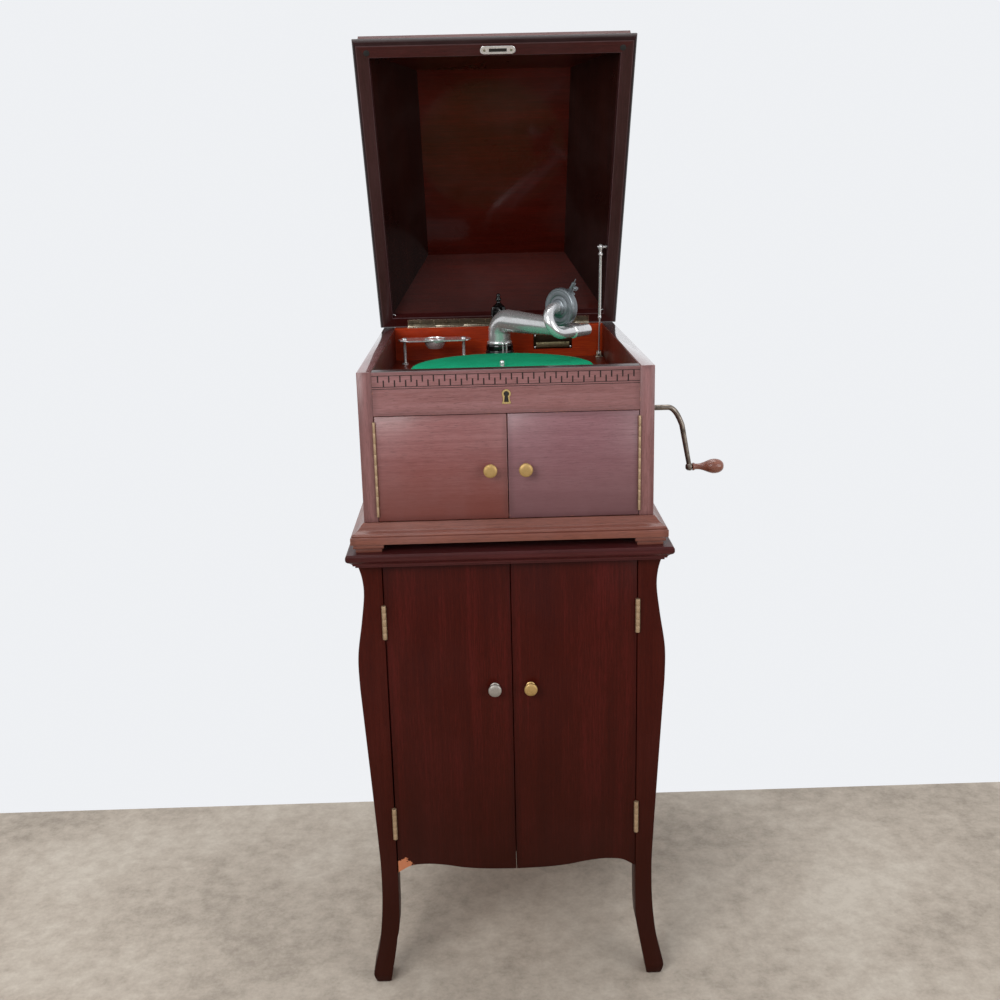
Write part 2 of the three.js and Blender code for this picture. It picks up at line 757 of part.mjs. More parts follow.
function buildUpperDoors() {
  const near = seamGap / 2;
  const panel = box(near, innerX - seamGap / 2, frontY, frontY + upperDoorThickness, upperDoorBottom, upperDoorTop);
  const door = panel.subtract(hingeBed({ direction: -1, ...strapHinge }));
  const doorKnob = knob(knobFromSeam - 1.5, frontY, caseTop - upperKnobBelowTop);
  const [fixed, moving] = uprightHinge({ side: 1, knuckles: 9, ...strapHinge });
  addPiece('upper_door_right', door, 'mahogany');
  addPiece('upper_door_left', mirroredX(door), 'mahogany');
  addPiece('upper_knob_right', doorKnob, 'brass');
  addPiece('upper_knob_left', mirroredX(doorKnob), 'brass');
  addPiece('upper_hinge_right_fixed', fixed, 'brass');
  addPiece('upper_hinge_right_leaf', moving, 'brass');
  addPiece('upper_hinge_left_fixed', mirroredX(fixed), 'brass');
  addPiece('upper_hinge_left_leaf', mirroredX(moving), 'brass');
}

function buildLouvres() {
  const y0 = frontY + railThickness + louvreGap;
  const y1 = y0 + louvreThickness;
  const low = plinthTop;
  const high = boardBottom;
  const border = 9;
  const openLow = low + border;
  const openHigh = high - border;
  const openX = innerX - cleatSize - border;
  let grille = box(-innerX + cleatSize + touchGap, innerX - cleatSize - touchGap, y0, y1, low, high)
    .subtract(box(-openX, openX, y0 - 1, y1 + 1, openLow, openHigh));
  const slats = 3;
  const slat = 4.5;
  const pitch = (openHigh - openLow) / (slats + 1);
  for (let i = 1; i <= slats; i += 1) {
    const z = openLow + i * pitch;
    grille = grille.add(box(-openX - 1, openX + 1, y0, y1, z - slat / 2, z + slat / 2));
  }
  addPiece('louvres', grille, 'mahogany');
}

// ---------------------------------------------------------------- horn

/** A ring of points round a superellipse that faces along the horn. */
function hornRing({ y, z, halfX, halfUp, squareness, slope }, grow) {
  const count = 20;
  const ring = [];
  for (let i = 0; i < count; i += 1) {
    const angle = (2 * Math.PI * i) / count;
    const round = (value) => Math.sign(value) * Math.abs(value) ** (2 / squareness);
    const across = round(Math.cos(angle)) * (halfX + grow);
    const up = round(Math.sin(angle)) * (halfUp + grow);
    ring.push(new THREE.Vector3(across, y - up * Math.sin(slope), z + up * Math.cos(slope)));
  }
  return ring;
}

/** The stations of the horn, from the throat under the tone arm to the mouth at the front. */
function hornStations() {
  const stations = [];
  const throatTop = boardBottom - touchGap;
  const floorZ = plinthTop + 6 + hornWall;
  const bendZ = floorZ + 21 + hornBend;
  const wide = 36;
  const low = 20.5;
  const turns = 6;
  stations.push({ y: armPivotY, z: throatTop, halfX: hornThroat - hornWall, halfUp: hornThroat - hornWall, squareness: 2, slope: Math.PI / 2 });
  for (let i = 0; i <= turns; i += 1) {
    const share = i / turns;
    const slope = (1 - share) * (Math.PI / 2);
    const inside = hornThroat - hornWall;
    stations.push({
      y: armPivotY - hornBend + hornBend * Math.sin(slope),
      z: bendZ - hornBend * Math.cos(slope),
      halfX: inside + (wide - inside) * share,
      halfUp: inside + (low - inside) * share,
      squareness: 2 + share,
      slope,
    });
  }
  const startY = armPivotY - hornBend;
  const mouthY = frontY + railThickness + louvreGap + louvreThickness + touchGap;
  const mouthHalf = innerX - cleatSize - touchGap;
  const mouthTop = boardBottom - cleatSize;
  const steps = 7;
  for (let i = 1; i <= steps; i += 1) {
    const share = i / steps;
    const bottom = floorZ;
    const top = floorZ + 2 * low + (mouthTop - floorZ - 2 * low) * share ** 2;
    stations.push({
      y: startY + (mouthY - startY) * share,
      z: (top + bottom) / 2,
      halfX: wide + (mouthHalf - hornWall - wide) * share ** 1.5,
      halfUp: (top - bottom) / 2 - hornWall * share,
      squareness: 3 + 5 * share,
      slope: 0,
    });
  }
  return stations;
}

/** A hollow length of the horn, open at both ends. */
function hornLength(stations, before, after) {
  const outer = lofted(stations.map((station) => hornRing(station, hornWall)));
  const longer = [before, ...stations, after];
  return outer.subtract(lofted(longer.map((station) => hornRing(station, 0))));
}

function buildHorn() {
  const stations = hornStations();
  const turn = stations.findIndex(({ slope }) => slope === 0);
  const first = stations[0];
  const middle = stations[turn];
  const last = stations[stations.length - 1];
  const nudge = (station, y, z) => ({ ...station, y: station.y + y, z: station.z + z });
  const elbow = hornLength(stations.slice(0, turn + 1), nudge(first, 0, 1), nudge(middle, -1, 0));
  const flare = hornLength(stations.slice(turn), nudge(middle, 1, 0), nudge(last, -1, 0));
  addPiece('horn_elbow', elbow, 'castIron');
  addPiece('horn_flare', flare, 'bareWood');
}

// ---------------------------------------------------------------- motor

function buildMotor() {
  const top = boardBottom;
  const plateBottom = top - motorPlate;
  const barrelEnd = barrelStart + barrelLength;
  const cheek = 3.5;
  const hole = 4 + touchGap;
  const governorY = spindleY - governorFromSpindle;
  const governorZ = caseTop - governorDrop;
  const governorEnd = -governorLength;
  const plate = box(
    governorEnd - 12, barrelEnd + 14, crankY - motorPlateFront, spindleY + motorPlateBack, plateBottom, top,
  );
  const cheekBox = (x, y, half, bottom) => box(x, x + cheek, y - half, y + half, bottom, plateBottom + 1);
  const barrelCheeks = [barrelStart - cheek - 1, barrelEnd + 1]
    .map((x) => cheekBox(x, crankY, barrelCheekHalf, crankZ - 13));
  const governorCheeks = [governorEnd - cheek, 12]
    .map((x) => cheekBox(x, governorY, governorCheekHalf, governorZ - governorCheekHalf));
  const bores = joined(
    placed(alongX(rod(hole, barrelStart - 10, barrelEnd + 10)), [0, crankY, crankZ]),
    placed(alongX(rod(2.5 + touchGap, governorEnd - 10, governorBearing)), [0, governorY, governorZ]),
    placed(rod(spindleRadius + touchGap, plateBottom - 1, top + 1), [0, spindleY, 0]),
  );
  addPiece('motor_frame', joined(plate, ...barrelCheeks, ...governorCheeks).subtract(bores), 'castIron');

  const r = barrelRadius;
  const barrel = turned([
    [0, -4.5], [4, -4.5], [4, 0], [r - 3, 0], [r, 2], [r, 6], [r - 1.5, 7],
    [r - 1.5, barrelLength - 7], [r, barrelLength - 6], [r, barrelLength - 2], [r - 3, barrelLength],
    [4, barrelLength], [4, barrelLength + 4.5], [0, barrelLength + 4.5],
  ], 24);
  addPiece('spring_barrel', placed(alongX(barrel), [barrelStart, crankY, crankZ]), 'steel');

  const length = governorLength;
  const shaft = turned([
    [0, 3.2], [2.5, 3.2], [2.5, 6], [6.5, 6], [6.5, 14], [2.5, 14], [2.5, 46], [6.5, 46], [6.5, 53],
    [17, 54], [17, 56], [2.5, 57], [2.5, length - 6], [9, length - 5], [9, length + 4], [2.5, length + 5],
    [2.5, length + 11], [0, length + 11],
  ], 14);
  const parts = [shaft];
  for (let i = 0; i < 3; i += 1) {
    const turn = [0, 0, i * 120];
    const spring = new THREE.QuadraticBezierCurve3(
      new THREE.Vector3(5, 0, 9), new THREE.Vector3(2 * ballOrbit - 5, 0, 29.5), new THREE.Vector3(5, 0, 50),
    );
    parts.push(swept(spring, 1.1, 8, 6).rotate(turn));
    const ball = toSolid(new THREE.SphereGeometry(ballRadius, 10, 7)).translate([ballOrbit, 0, 29.5]);
    parts.push(ball.rotate(turn));
  }
  const governor = placed(alongX(joined(...parts)), [governorEnd - cheek, governorY, governorZ]);
  addPiece('governor', governor, 'brass');
}

// ---------------------------------------------------------------- turntable

function buildTurntable() {
  const top = feltTop - feltThickness;
  const under = top - platterThickness;
  const rim = top - platterRim;
  const tip = feltTop + spindleAboveFelt;
  const foot = boardBottom - spindleBelowBoard;
  const platter = turned([
    [0, foot], [spindleRadius, foot], [spindleRadius, under - 10], [9, under - 9],
    [hubRadius, under], [turntableRadius - 3, under], [turntableRadius - 2.2, rim],
    [turntableRadius, rim], [turntableRadius, top - 1.2], [turntableRadius - 1.6, top],
    [spindleRadius, top], [spindleRadius, tip - 3], [0, tip],
  ], 48);
  addPiece('turntable', placed(platter, [0, spindleY, 0]), 'nickel');
  const hole = spindleRadius + touchGap;
  const felt = turned([
    [hole, top], [feltRadius, top], [feltRadius, feltTop - 0.5], [feltRadius - 0.6, feltTop], [hole, feltTop],
    [hole, top],
  ], 48);
  addPiece('turntable_felt', placed(felt, [0, spindleY, 0]), 'felt');
}

function buildBrake() {
  const away = turntableRadius + brakeFromRim;
  const pivot = new THREE.Vector2(away * Math.cos(brakeAngle), spindleY + away * Math.sin(brakeAngle));
  const reach = brakeFromRim - 2.4;
  const low = boardTop;
  const lever = joined(
    rod(8, low + touchGap, low + 13, 20),
    box(-reach, 0, -3, 3, low + 9, low + 12),
    box(-reach, -reach + 5, -9, 9, low + 8, low + 16),
    box(0, brakeLead, -3, 3, low + 9, low + 12),
    placed(rod(4.5, low + 9, low + 17, 16), [brakeLead, 0, 0]),
  );
  addPiece('brake_lever', placed(lever, [pivot.x, pivot.y, 0], [0, 0, THREE.MathUtils.radToDeg(brakeAngle)]), 'nickel');
}

// ---------------------------------------------------------------- tone arm

const armBaseTop = caseTop - armSeatBelowTop;
const armTop = caseTop + armAboveTop + armRootRadius;

function buildArmBracket() {
  const r = bracketRadius;
  const bore = hornThroat - hornWall;
  const neck = armRootRadius - 4;
  const sole = boardTop + bracketSole;
  const waist = boardTop + bracketWaist;
  const ring = waist + 3;
  const upper = ring + bracketRing;
  const base = turned([
    [bore, boardTop], [flangeRadius, boardTop], [flangeRadius, sole], [r, sole + 3],
    [r - 1, waist], [r + 1, ring], [r + 1, upper], [r - 0.5, upper + 2],
    [r - 0.5, armBaseTop - 3], [r - 1.5, armBaseTop - touchGap], [neck, armBaseTop - touchGap],
    [neck, boardTop + boreRise + 4], [bore, boardTop + boreRise], [bore, boardTop],
  ], 28);
  const tip = caseTop + finialHeight;
  const body = caseTop + finialShoulder;
  const wide = finialRadius;
  const finial = turned([
    [0, boardTop + 2], [wide, boardTop + 2], [wide, body], [wide - 0.6, body + 3], [wide - 2, body + 6],
    [wide - 4.5, body + 9], [wide - 8, body + 11.5], [3.3, body + 13.5], [3.2, body + 15],
    [4.6, tip - 12], [4.8, tip - 9.5], [2.8, tip - 6], [3.6, tip - 3.6], [2.6, tip - 1.2], [0, tip],
  ], 18);
  const clearance = rod(armSeatRadius + 2 * touchGap, armBaseTop - 2 * touchGap, armTop + 2 * touchGap, 28);
  const standing = finial.subtract(clearance.translate([0, -finialBehind, 0]));
  const bracket = joined(base, standing.translate([0, finialBehind, 0]));
  addPiece('tone_arm_bracket', placed(bracket, [0, armPivotY, 0]), 'nickel');
}

/** A tapered bar along +X from one radius to another. */
function taper(x0, x1, r0, r1) {
  const profile = [[0, x0], [r0, x0], [r0 + 0.35 * (r1 - r0), x0 + 0.5 * (x1 - x0)], [r1, x1], [0, x1]];
  return alongX(turned(profile, 20));
}

/** Pieces of the arm are drawn with the arm along +X, its pivot on Z and the collar along Y. */
const armGroup = new THREE.Group();
armGroup.position.set(0, armPivotY, caseTop + armAboveTop);
armGroup.rotation.z = armSwing;
cabinet.add(armGroup);

const neckGroup = new THREE.Group();
neckGroup.position.set(armLength, 0, -armFall);
armGroup.add(neckGroup);

function buildArm() {
  const foot = armBaseTop - caseTop - armAboveTop;
  const elbow = new THREE.CurvePath();
  elbow.add(new THREE.LineCurve3(new THREE.Vector3(0, 0, foot), new THREE.Vector3(0, 0, -armBend)));
  const bendStart = new THREE.Vector3(0, 0, -armBend);
  const bendEnd = new THREE.Vector3(armBend, 0, 0);
  const reach = 0.5523 * armBend;
  elbow.add(new THREE.CubicBezierCurve3(
    bendStart, new THREE.Vector3(0, 0, -armBend + reach), new THREE.Vector3(armBend - reach, 0, 0), bendEnd,
  ));
  const tube = swept(elbow, armRootRadius, 10, 20);
  const collar = toFront(turned([
    [0, -collarOut], [collarRadius - 1, -collarOut], [collarRadius, -collarOut + 1], [collarRadius, collarIn],
    [0, collarIn],
  ], 24));
  const seat = rod(armSeatRadius, foot, foot + armSeatThickness, 28);
  const start = armBend - 0.7;
  const slope = Math.atan2(armFall, armLength - start);
  const straight = taper(0, (armLength - start) / Math.cos(slope) - 2, armRootRadius + touchGap, armTipRadius);
  const arm = joined(
    tube, seat, placed(straight, [start, 0, 0], [0, THREE.MathUtils.radToDeg(slope), 0]),
    placed(collar, [armLength, 0, -armFall]),
  );
  addPiece('tone_arm', arm, 'nickel', armGroup);
}

/** The gooseneck's bend lies in a plane through the collar's axis, leaned by neckLean from upright. */
function buildGooseneck() {
  const up = new THREE.Vector3(Math.sin(neckLean), 0, Math.cos(neckLean));
  const at = (out, rise) => new THREE.Vector3(0, -out, 0).addScaledVector(up, rise);
  const start = collarIn + touchGap;
  const turnAt = start + neckStraight;
  const end = soundBoxFromArm + 4;
  const reach = 0.5523 * neckBend;
  const path = new THREE.CurvePath();
  path.add(new THREE.LineCurve3(at(start, 0), at(turnAt, 0)));
  path.add(new THREE.CubicBezierCurve3(
    at(turnAt, 0), at(turnAt + reach, 0), at(turnAt + neckBend, neckBend - reach), at(turnAt + neckBend, neckBend),
  ));
  path.add(new THREE.CubicBezierCurve3(
    at(turnAt + neckBend, neckBend), at(turnAt + neckBend, neckBend + reach),
    at(turnAt + reach, 2 * neckBend), at(turnAt, 2 * neckBend),
  ));
  path.add(new THREE.LineCurve3(at(turnAt, 2 * neckBend), at(end, 2 * neckBend)));
  const tube = swept(path, neckRadius, 18, 16);
  const bead = toFront(turned([
    [0, -start - 3.4], [neckRadius + 1, -start - 3.4], [neckRadius + 2, -start - 2.4], [neckRadius + 2, -start - 1],
    [neckRadius + 1.2, -start], [0, -start],
  ], 24)).mirror([0, 1, 0]);
  addPiece('gooseneck', joined(tube, bead), 'nickel', neckGroup);
  return at(soundBoxFromArm, 2 * neckBend);
}

function buildSoundBox(centre) {
  const r = soundBoxRadius;
  const t = soundBoxThickness;
  const body = turned([
    [0, -3.7], [10.5, -3.7], [12.5, -2.5], [13, 0], [r - 3, 0], [r, 2.6], [r, t - 2.4],
    [r - 2.6, t], [r - 5, t], [r - 6, t - 3.5], [0, t - 3.5],
  ], 32);
  const bar = joined(
    box(-1.6, 1.6, -2, r - 3, t - 4.5, t + 1.2),
    box(-7, 7, r - 7, r - 1, t - 1, t + 4),
    box(-3, 3, r - 2, r + 6, t - 3, t + 3.5),
    placed(rod(3.2, 0, 13, 16), [0, r + 1, t - 0.5], [-90, 0, 0]),
    placed(turned([[0, 0], [0.9, 0], [0.9, 10], [0, needleReach - r - 13]], 10), [0, r + 13, t - 0.5], [-90, 0, 0]),
    placed(alongX(rod(1.5, 0, 8, 12)), [0, r + 8, t - 0.5]),
    placed(alongX(rod(3.6, 6, 9, 16)), [0, r + 8, t - 0.5]),
  );
  const soundBox = joined(body, bar).rotate([90, 0, 0]).mirror([0, 1, 0]);
  const turn = THREE.MathUtils.radToDeg(needleAngle);
  const piece = placed(soundBox.rotate([0, turn, 0]), centre.toArray());
  addPiece('sound_box', piece, 'nickel', neckGroup);
}

// ---------------------------------------------------------------- crank

function buildCrank() {
  const barrelEnd = barrelStart + barrelLength;
  const inner = barrelEnd + 4.5 + touchGap;
  const bendX = sideX + crankStraight;
  const end = new THREE.Vector3(bendX + crankLean, 0, -crankThrow);
  const corner = new THREE.Vector3(bendX + crankLean * crankBendShare, 0, -crankThrow * crankBendShare * 0.2);
  const lower = new THREE.Vector3(bendX + crankLean * 0.56, 0, -crankThrow * 0.3);
  const path = new THREE.CurvePath();
  path.add(new THREE.LineCurve3(new THREE.Vector3(inner, 0, 0), new THREE.Vector3(bendX - 6, 0, 0)));
  path.add(new THREE.QuadraticBezierCurve3(new THREE.Vector3(bendX - 6, 0, 0), corner.setZ(0), lower));
  path.add(new THREE.LineCurve3(lower, end));
  const boss = alongX(turned([
    [0, -6], [4.2, -5], [6.2, 0], [6, 3], [3, 4], [3, handleLength - 3], [0, handleLength - 3],
  ], 20)).translate(end.toArray());
  const crank = joined(swept(path, crankRadius, 24, 12), boss);
  addPiece('crank', placed(crank, [0, crankY, crankZ]), 'steel');

  const bore = 3 + touchGap;
  const r = handleRadius;
  const length = handleLength;
  const grip = alongX(turned([
    [bore, 4 + touchGap], [6, 4 + touchGap], [6, 7.5], [4.8, 8.5], [4.4, 12], [5.2, 18], [8.6, 26], [r - 0.4, 34],
    [r, 39], [r - 1.6, 46], [7.4, 51], [4, length], [0, length + 0.6], [0, length - 2], [bore, length - 2],
    [bore, 4 + touchGap],
  ], 20));
  addPiece('crank_handle', placed(grip.translate(end.toArray()), [0, crankY, crankZ]), 'mahogany');

  const flange = alongX(turned([
    [crankRadius + touchGap, -caseWall + 2], [crankRadius + 3, -caseWall + 2], [crankRadius + 3, -1 + touchGap],
    [escutcheonRadius, -1 + touchGap], [escutcheonRadius, 1], [escutcheonRadius - 2, 2.2], [8, 3], [7.2, 6],
    [crankRadius + touchGap, 6], [crankRadius + touchGap, -caseWall + 2],
  ], 24));
  addPiece('crank_escutcheon', placed(flange, [sideX, crankY, crankZ]), 'nickel');
}

// ---------------------------------------------------------------- needle tray

function buildNeedleTray() {
  const top = caseTop - trayBelowTop;
  const half = trayLength / 2;
  const shape = new THREE.Shape();
  const r = trayWidth / 2;
  shape.absarc(half - r, 0, r, -Math.PI / 2, Math.PI / 2, false);
  shape.absarc(-half + r, 0, r, Math.PI / 2, 1.5 * Math.PI, false);
  const plate = flatPlate(shape, top - 2.5, top, 8);
  const low = cupRadius - 5;
  const cup = turned([
    [0, top - 16], [low, top - 16], [cupRadius + 1.5, top - 6], [cupRadius + 1.5, top + 1.2], [0, top + 1.2],
  ], 24);
  const hollow = turned([
    [0, top - 14.5], [low - 1, top - 14.5], [cupRadius, top - 5], [cupRadius, top + 2], [0, top + 2],
  ], 24);
  const posts = [];
  for (const x of trayPosts) {
    posts.push(placed(turned([
      [0, boardTop], [6, boardTop], [6, boardTop + 2], [2.6, boardTop + 3.5], [2.6, top - 4], [4, top - 2],
      [4.6, top], [3, top + 2.6], [0, top + 3],
    ], 16), [x, 0, 0]));
  }
  const tray = joined(plate, cup, ...posts).subtract(hollow);
  addPiece('needle_tray', placed(tray, [-innerX + trayFromSide, backY - trayFromBack, 0]), 'nickel');
}

// ---------------------------------------------------------------- lid

/** The lid is drawn closed, with its hinge pin on X through the origin and its front towards -Y. */
const lidGroup = new THREE.Group();
lidGroup.position.set(0, backY + lidGap, caseTop + lidGap / 2);
lidGroup.rotation.x = -openAngle;
cabinet.add(lidGroup);

function buildLid() {
  const y1 = -lidGap;
  const y0 = y1 - caseDepth;
  const rim = lidGap / 2;
  const depth = lidInnerDepth + lidPanel;
  const slopeTop = lidPanelInset - lidPanel * 1.35;
  const levels = [
    [0, 0], [lidLip * 0.62, 4], [lidLip * 0.92, 9], [lidLip, 14], [lidLip * 0.85, 19], [lidLip * 0.3, 22.5],
    [-0.5, 23.5], [-0.5, lidBand], [-lidShoulder * 0.4, lidBand + 1.5], [-lidShoulder, lidBand + 5],
    [-slopeTop, depth - 6], [-slopeTop - 1.5, depth - 5], [-slopeTop - 1.5, depth - 2],
    [-slopeTop - 4, depth],
  ].map(([overhang, z]) => [overhang, rim + z]);
  const outer = mouldedBlock(sideX, y0, y1, levels);
  const ring = (side, front, back, z) => [
    new THREE.Vector3(-sideX + side, y0 + front, z), new THREE.Vector3(sideX - side, y0 + front, z),
    new THREE.Vector3(sideX - side, y1 - back, z), new THREE.Vector3(-sideX + side, y1 - back, z),
  ];
  const w = lidRimWidth;
  const inner = lofted([
    ring(w, w, w, rim - 1), ring(w, w, w, rim + lidRimDepth),
    ring(lidPanelInset, lidPanelFromFront, lidPanelFromHinge, rim + lidInnerDepth),
  ]);
  const half = lidHingeLength / 2 + touchGap;
  const leafBed = box(-half, half, y1 - lidLeafWidth - touchGap, y1 + 1, rim - 1, rim + leafThickness + touchGap);
  const barrelRoom = alongX(rod(lidHingeRadius + 2 * touchGap, -half, half, 14));
  const strikeY = y0 + lidRimWidth / 2;
  const strikeBed = flatPlate(strikeShape(strikeOffset, strikeY, touchGap), rim - 1, rim + 1, 8);
  const shell = outer.subtract(joined(inner, leafBed, barrelRoom, strikeBed));
  addPiece('lid_shell', shell, 'mahogany', lidGroup);

  const strike = strikeShape(strikeOffset, strikeY, 0);
  const slot = new THREE.Path();
  const slotHalf = strikeSlot / 2;
  const [slotLeft, slotRight] = [strikeOffset - strikeSlotHalf, strikeOffset + strikeSlotHalf];
  slot.absarc(slotRight, strikeY, slotHalf, -Math.PI / 2, Math.PI / 2, false);
  slot.absarc(slotLeft, strikeY, slotHalf, Math.PI / 2, 1.5 * Math.PI, false);
  strike.holes.push(slot);
  addPiece('lock_strike', flatPlate(strike, rim - touchGap, rim + 1 - touchGap, 8), 'nickel', lidGroup);
}

/** A plate with round ends, centred on a point. */
function strikeShape(x, y, grow) {
  const r = strikeWidth / 2 + grow;
  const half = strikeLength / 2 - strikeWidth / 2;
  const shape = new THREE.Shape();
  shape.absarc(x + half, y, r, -Math.PI / 2, Math.PI / 2, false);
  shape.absarc(x - half, y, r, Math.PI / 2, 1.5 * Math.PI, false);
  return shape;
}

function buildLidHinge() {
  const half = lidHingeLength / 2;
  const knuckles = 13;
  const step = lidHingeLength / knuckles;
  const caseParts = [];
  const lidParts = [];
  const caseRooms = [];
  const lidRooms = [];
  for (let i = 0; i < knuckles; i += 1) {
    const x0 = -half + i * step + touchGap / 2;
    const x1 = x0 + step - touchGap;
    const barrel = alongX(rod(lidHingeRadius, x0, x1, 12));
    const end = 1.5 * touchGap;
    const room = alongX(rod(lidHingeRadius + touchGap, x0 - end, x1 + end, 12));
    (i % 2 ? lidParts : caseParts).push(barrel);
    (i % 2 ? caseRooms : lidRooms).push(room);
  }
  const near = -lidGap - lidLeafWidth;
  const top = lidGap / 2;
  const leaf = (z0, z1) => box(-half, half, near, 0, z0, z1);
  const lidLeaf = joined(leaf(top + touchGap, top + leafThickness).subtract(joined(...lidRooms)), ...lidParts);
  const caseLeaf = joined(
    leaf(-top - leafThickness, -top - touchGap).subtract(joined(...caseRooms)), ...caseParts,
  );
  addPiece('lid_hinge_lid_leaf', lidLeaf, 'nickel', lidGroup);
  const fixed = new THREE.Group();
  fixed.position.copy(lidGroup.position);
  cabinet.add(fixed);
  addPiece('lid_hinge_case_leaf', caseLeaf, 'nickel', fixed);
}

// ---------------------------------------------------------------- lid stay

function buildStay() {
  const upper = new THREE.Vector3(stayX, -stayFromHinge, lidGap / 2 + stayDepthInLid);
  upper.applyAxisAngle(new THREE.Vector3(1, 0, 0), -openAngle).add(lidGroup.position);
  const lower = new THREE.Vector3(stayX, backY - stayFootFromBack, caseTop - stayFootBelowTop);
  const along = lower.clone().sub(upper);
  const length = along.length();
  const stay = new THREE.Group();
  stay.position.copy(upper);
  stay.quaternion.setFromUnitVectors(new THREE.Vector3(0, 0, -1), along.normalize());
  cabinet.add(stay);

  const pinEnd = sideX - lidRimWidth - stayX - touchGap;
  const sleeve = joined(
    turned([
      [0, 5], [2.6, 4.4], [4.4, 2], [4.4, -2], [3.4, -5], [sleeveRadius, -8], [sleeveRadius, -sleeveLength + 5],
      [sleeveRadius + 0.9, -sleeveLength + 4], [sleeveRadius + 0.9, -sleeveLength], [0, -sleeveLength],
    ], 20),
    alongX(rod(2.4, -4, pinEnd, 14)),
  ).subtract(rod(rodRadius + touchGap, -sleeveLength - 1, -length + rodLength + 60, 14));
  addPiece('lid_stay_sleeve', sleeve, 'nickel', stay);

  const eye = alongX(rod(3.6, -1.6, 1.6, 18)).translate([0, 0, -length]);
  const bar = joined(rod(rodRadius, -length + 1, -length + rodLength, 12), eye);
  addPiece('lid_stay_rod', bar, 'nickel', stay);

  const cheek = (x) => {
    const outline = new THREE.Shape();
    outline.moveTo(-6, 0);
    outline.lineTo(6, 0);
    outline.lineTo(4.5, 6);
    outline.absarc(0, 6.5, 4.5, 0, Math.PI, false);
    const geometry = new THREE.ExtrudeGeometry(outline, { depth: 1.8, bevelEnabled: false, curveSegments: 8 });
    geometry.rotateX(Math.PI / 2);
    geometry.rotateZ(Math.PI / 2);
    geometry.translate(x, 0, 0);
    return toSolid(geometry);
  };
  const bracket = joined(box(-6.5, 6.5, -11, 11, 0, 2), cheek(2.2), cheek(-4));
  addPiece('stay_bracket', placed(bracket, [stayX, lower.y, boardTop]), 'nickel');
}

// ---------------------------------------------------------------- assembly

buildPosts();
buildStandPanels();
buildStandTop();
buildStandInside();
buildStandDoors();
buildCaseBoards();
buildFrontRail();
buildPlinth();
buildMotorBoard();
buildUpperDoors();
buildLouvres();
buildHorn();
buildMotor();
buildTurntable();
buildBrake();
buildArmBracket();
buildArm();
buildSoundBox(buildGooseneck());
buildCrank();
buildNeedleTray();
buildLid();
buildLidHinge();
buildStay();

// The origin goes to the middle of the whole object's outline on the floor.
const extent = new THREE.Box3().setFromObject(cabinet, true);
const middle = extent.getCenter(new THREE.Vector3());
cabinet.position.set(-middle.x, -middle.y, -extent.min.z);

export default cabinet;
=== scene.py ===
"""Looks of a wind-up talking machine that stands on its record cabinet.

Points are worked out in the machine's own millimetres: X is 0 in the middle of the case, Y is 0 half
way from front to back, Z is 0 on the floor, and -Y is the front. A piece is moved to the part's frame,
in metres, when its mesh is made.
"""

import json
import logging
import math
from dataclasses import dataclass, field, replace
from enum import Enum
from typing import Sequence

import bmesh
import bpy
import numpy as np
from mathutils import Matrix, Vector


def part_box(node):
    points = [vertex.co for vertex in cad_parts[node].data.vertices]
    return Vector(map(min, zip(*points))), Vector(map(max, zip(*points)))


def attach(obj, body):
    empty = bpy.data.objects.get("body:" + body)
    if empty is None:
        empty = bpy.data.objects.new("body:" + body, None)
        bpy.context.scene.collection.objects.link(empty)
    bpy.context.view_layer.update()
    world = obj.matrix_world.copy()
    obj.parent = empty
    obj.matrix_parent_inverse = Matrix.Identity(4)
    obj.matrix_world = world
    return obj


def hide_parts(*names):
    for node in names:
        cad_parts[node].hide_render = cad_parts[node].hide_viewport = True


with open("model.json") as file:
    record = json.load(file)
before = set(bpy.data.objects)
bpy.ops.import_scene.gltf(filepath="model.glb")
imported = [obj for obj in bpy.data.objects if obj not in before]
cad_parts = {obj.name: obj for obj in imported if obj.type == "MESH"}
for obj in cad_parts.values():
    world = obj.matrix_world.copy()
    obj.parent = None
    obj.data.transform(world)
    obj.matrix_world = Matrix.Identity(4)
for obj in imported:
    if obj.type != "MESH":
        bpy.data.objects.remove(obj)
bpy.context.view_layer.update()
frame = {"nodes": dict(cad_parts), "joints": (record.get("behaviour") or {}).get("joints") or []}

log = logging.getLogger("talking_machine")
MM = 0.001
TAU = 2.0 * math.pi
Number = float | np.ndarray


# ---------------------------------------------------------------- the machine's own coordinates


def _machine_zero() -> np.ndarray:
    """Returns the machine's zero point in the part's frame, in metres."""
    back_low, back_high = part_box("case_back")
    rail_low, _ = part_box("front_rail")
    middle_y = (rail_low.y + back_high.y) / 2
    return np.array([(back_low.x + back_high.x) / 2, middle_y, 0.0])


ZERO = _machine_zero()


@dataclass(frozen=True)
class Extent:
    """A CAD node's lowest and highest corner in machine millimetres."""

    low: np.ndarray
    high: np.ndarray

    @classmethod
    def of(cls, node: str) -> "Extent":
        """Returns the extent of a CAD node."""
        low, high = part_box(node)
        return cls((np.array(low) - ZERO) / MM, (np.array(high) - ZERO) / MM)


def joint_named(name: str) -> dict:
    """Returns the record's joint of that name."""
    return next(joint for joint in frame["joints"] if joint["name"] == name)


def pivot_of(name: str) -> np.ndarray:
    """Returns a joint's pivot in machine millimetres."""
    return (np.array(joint_named(name)["pos_m"]) - ZERO) / MM


FRONT = Extent.of("front_rail").low[1]
BACK = Extent.of("case_back").high[1]
CASE_TOP = Extent.of("case_back").high[2]
CASE_HALF = Extent.of("case_side_right").high[0]
BOARD_TOP = Extent.of("motor_board").high[2]
INNER = Extent.of("case_back").high[0]


# ---------------------------------------------------------------- shapes


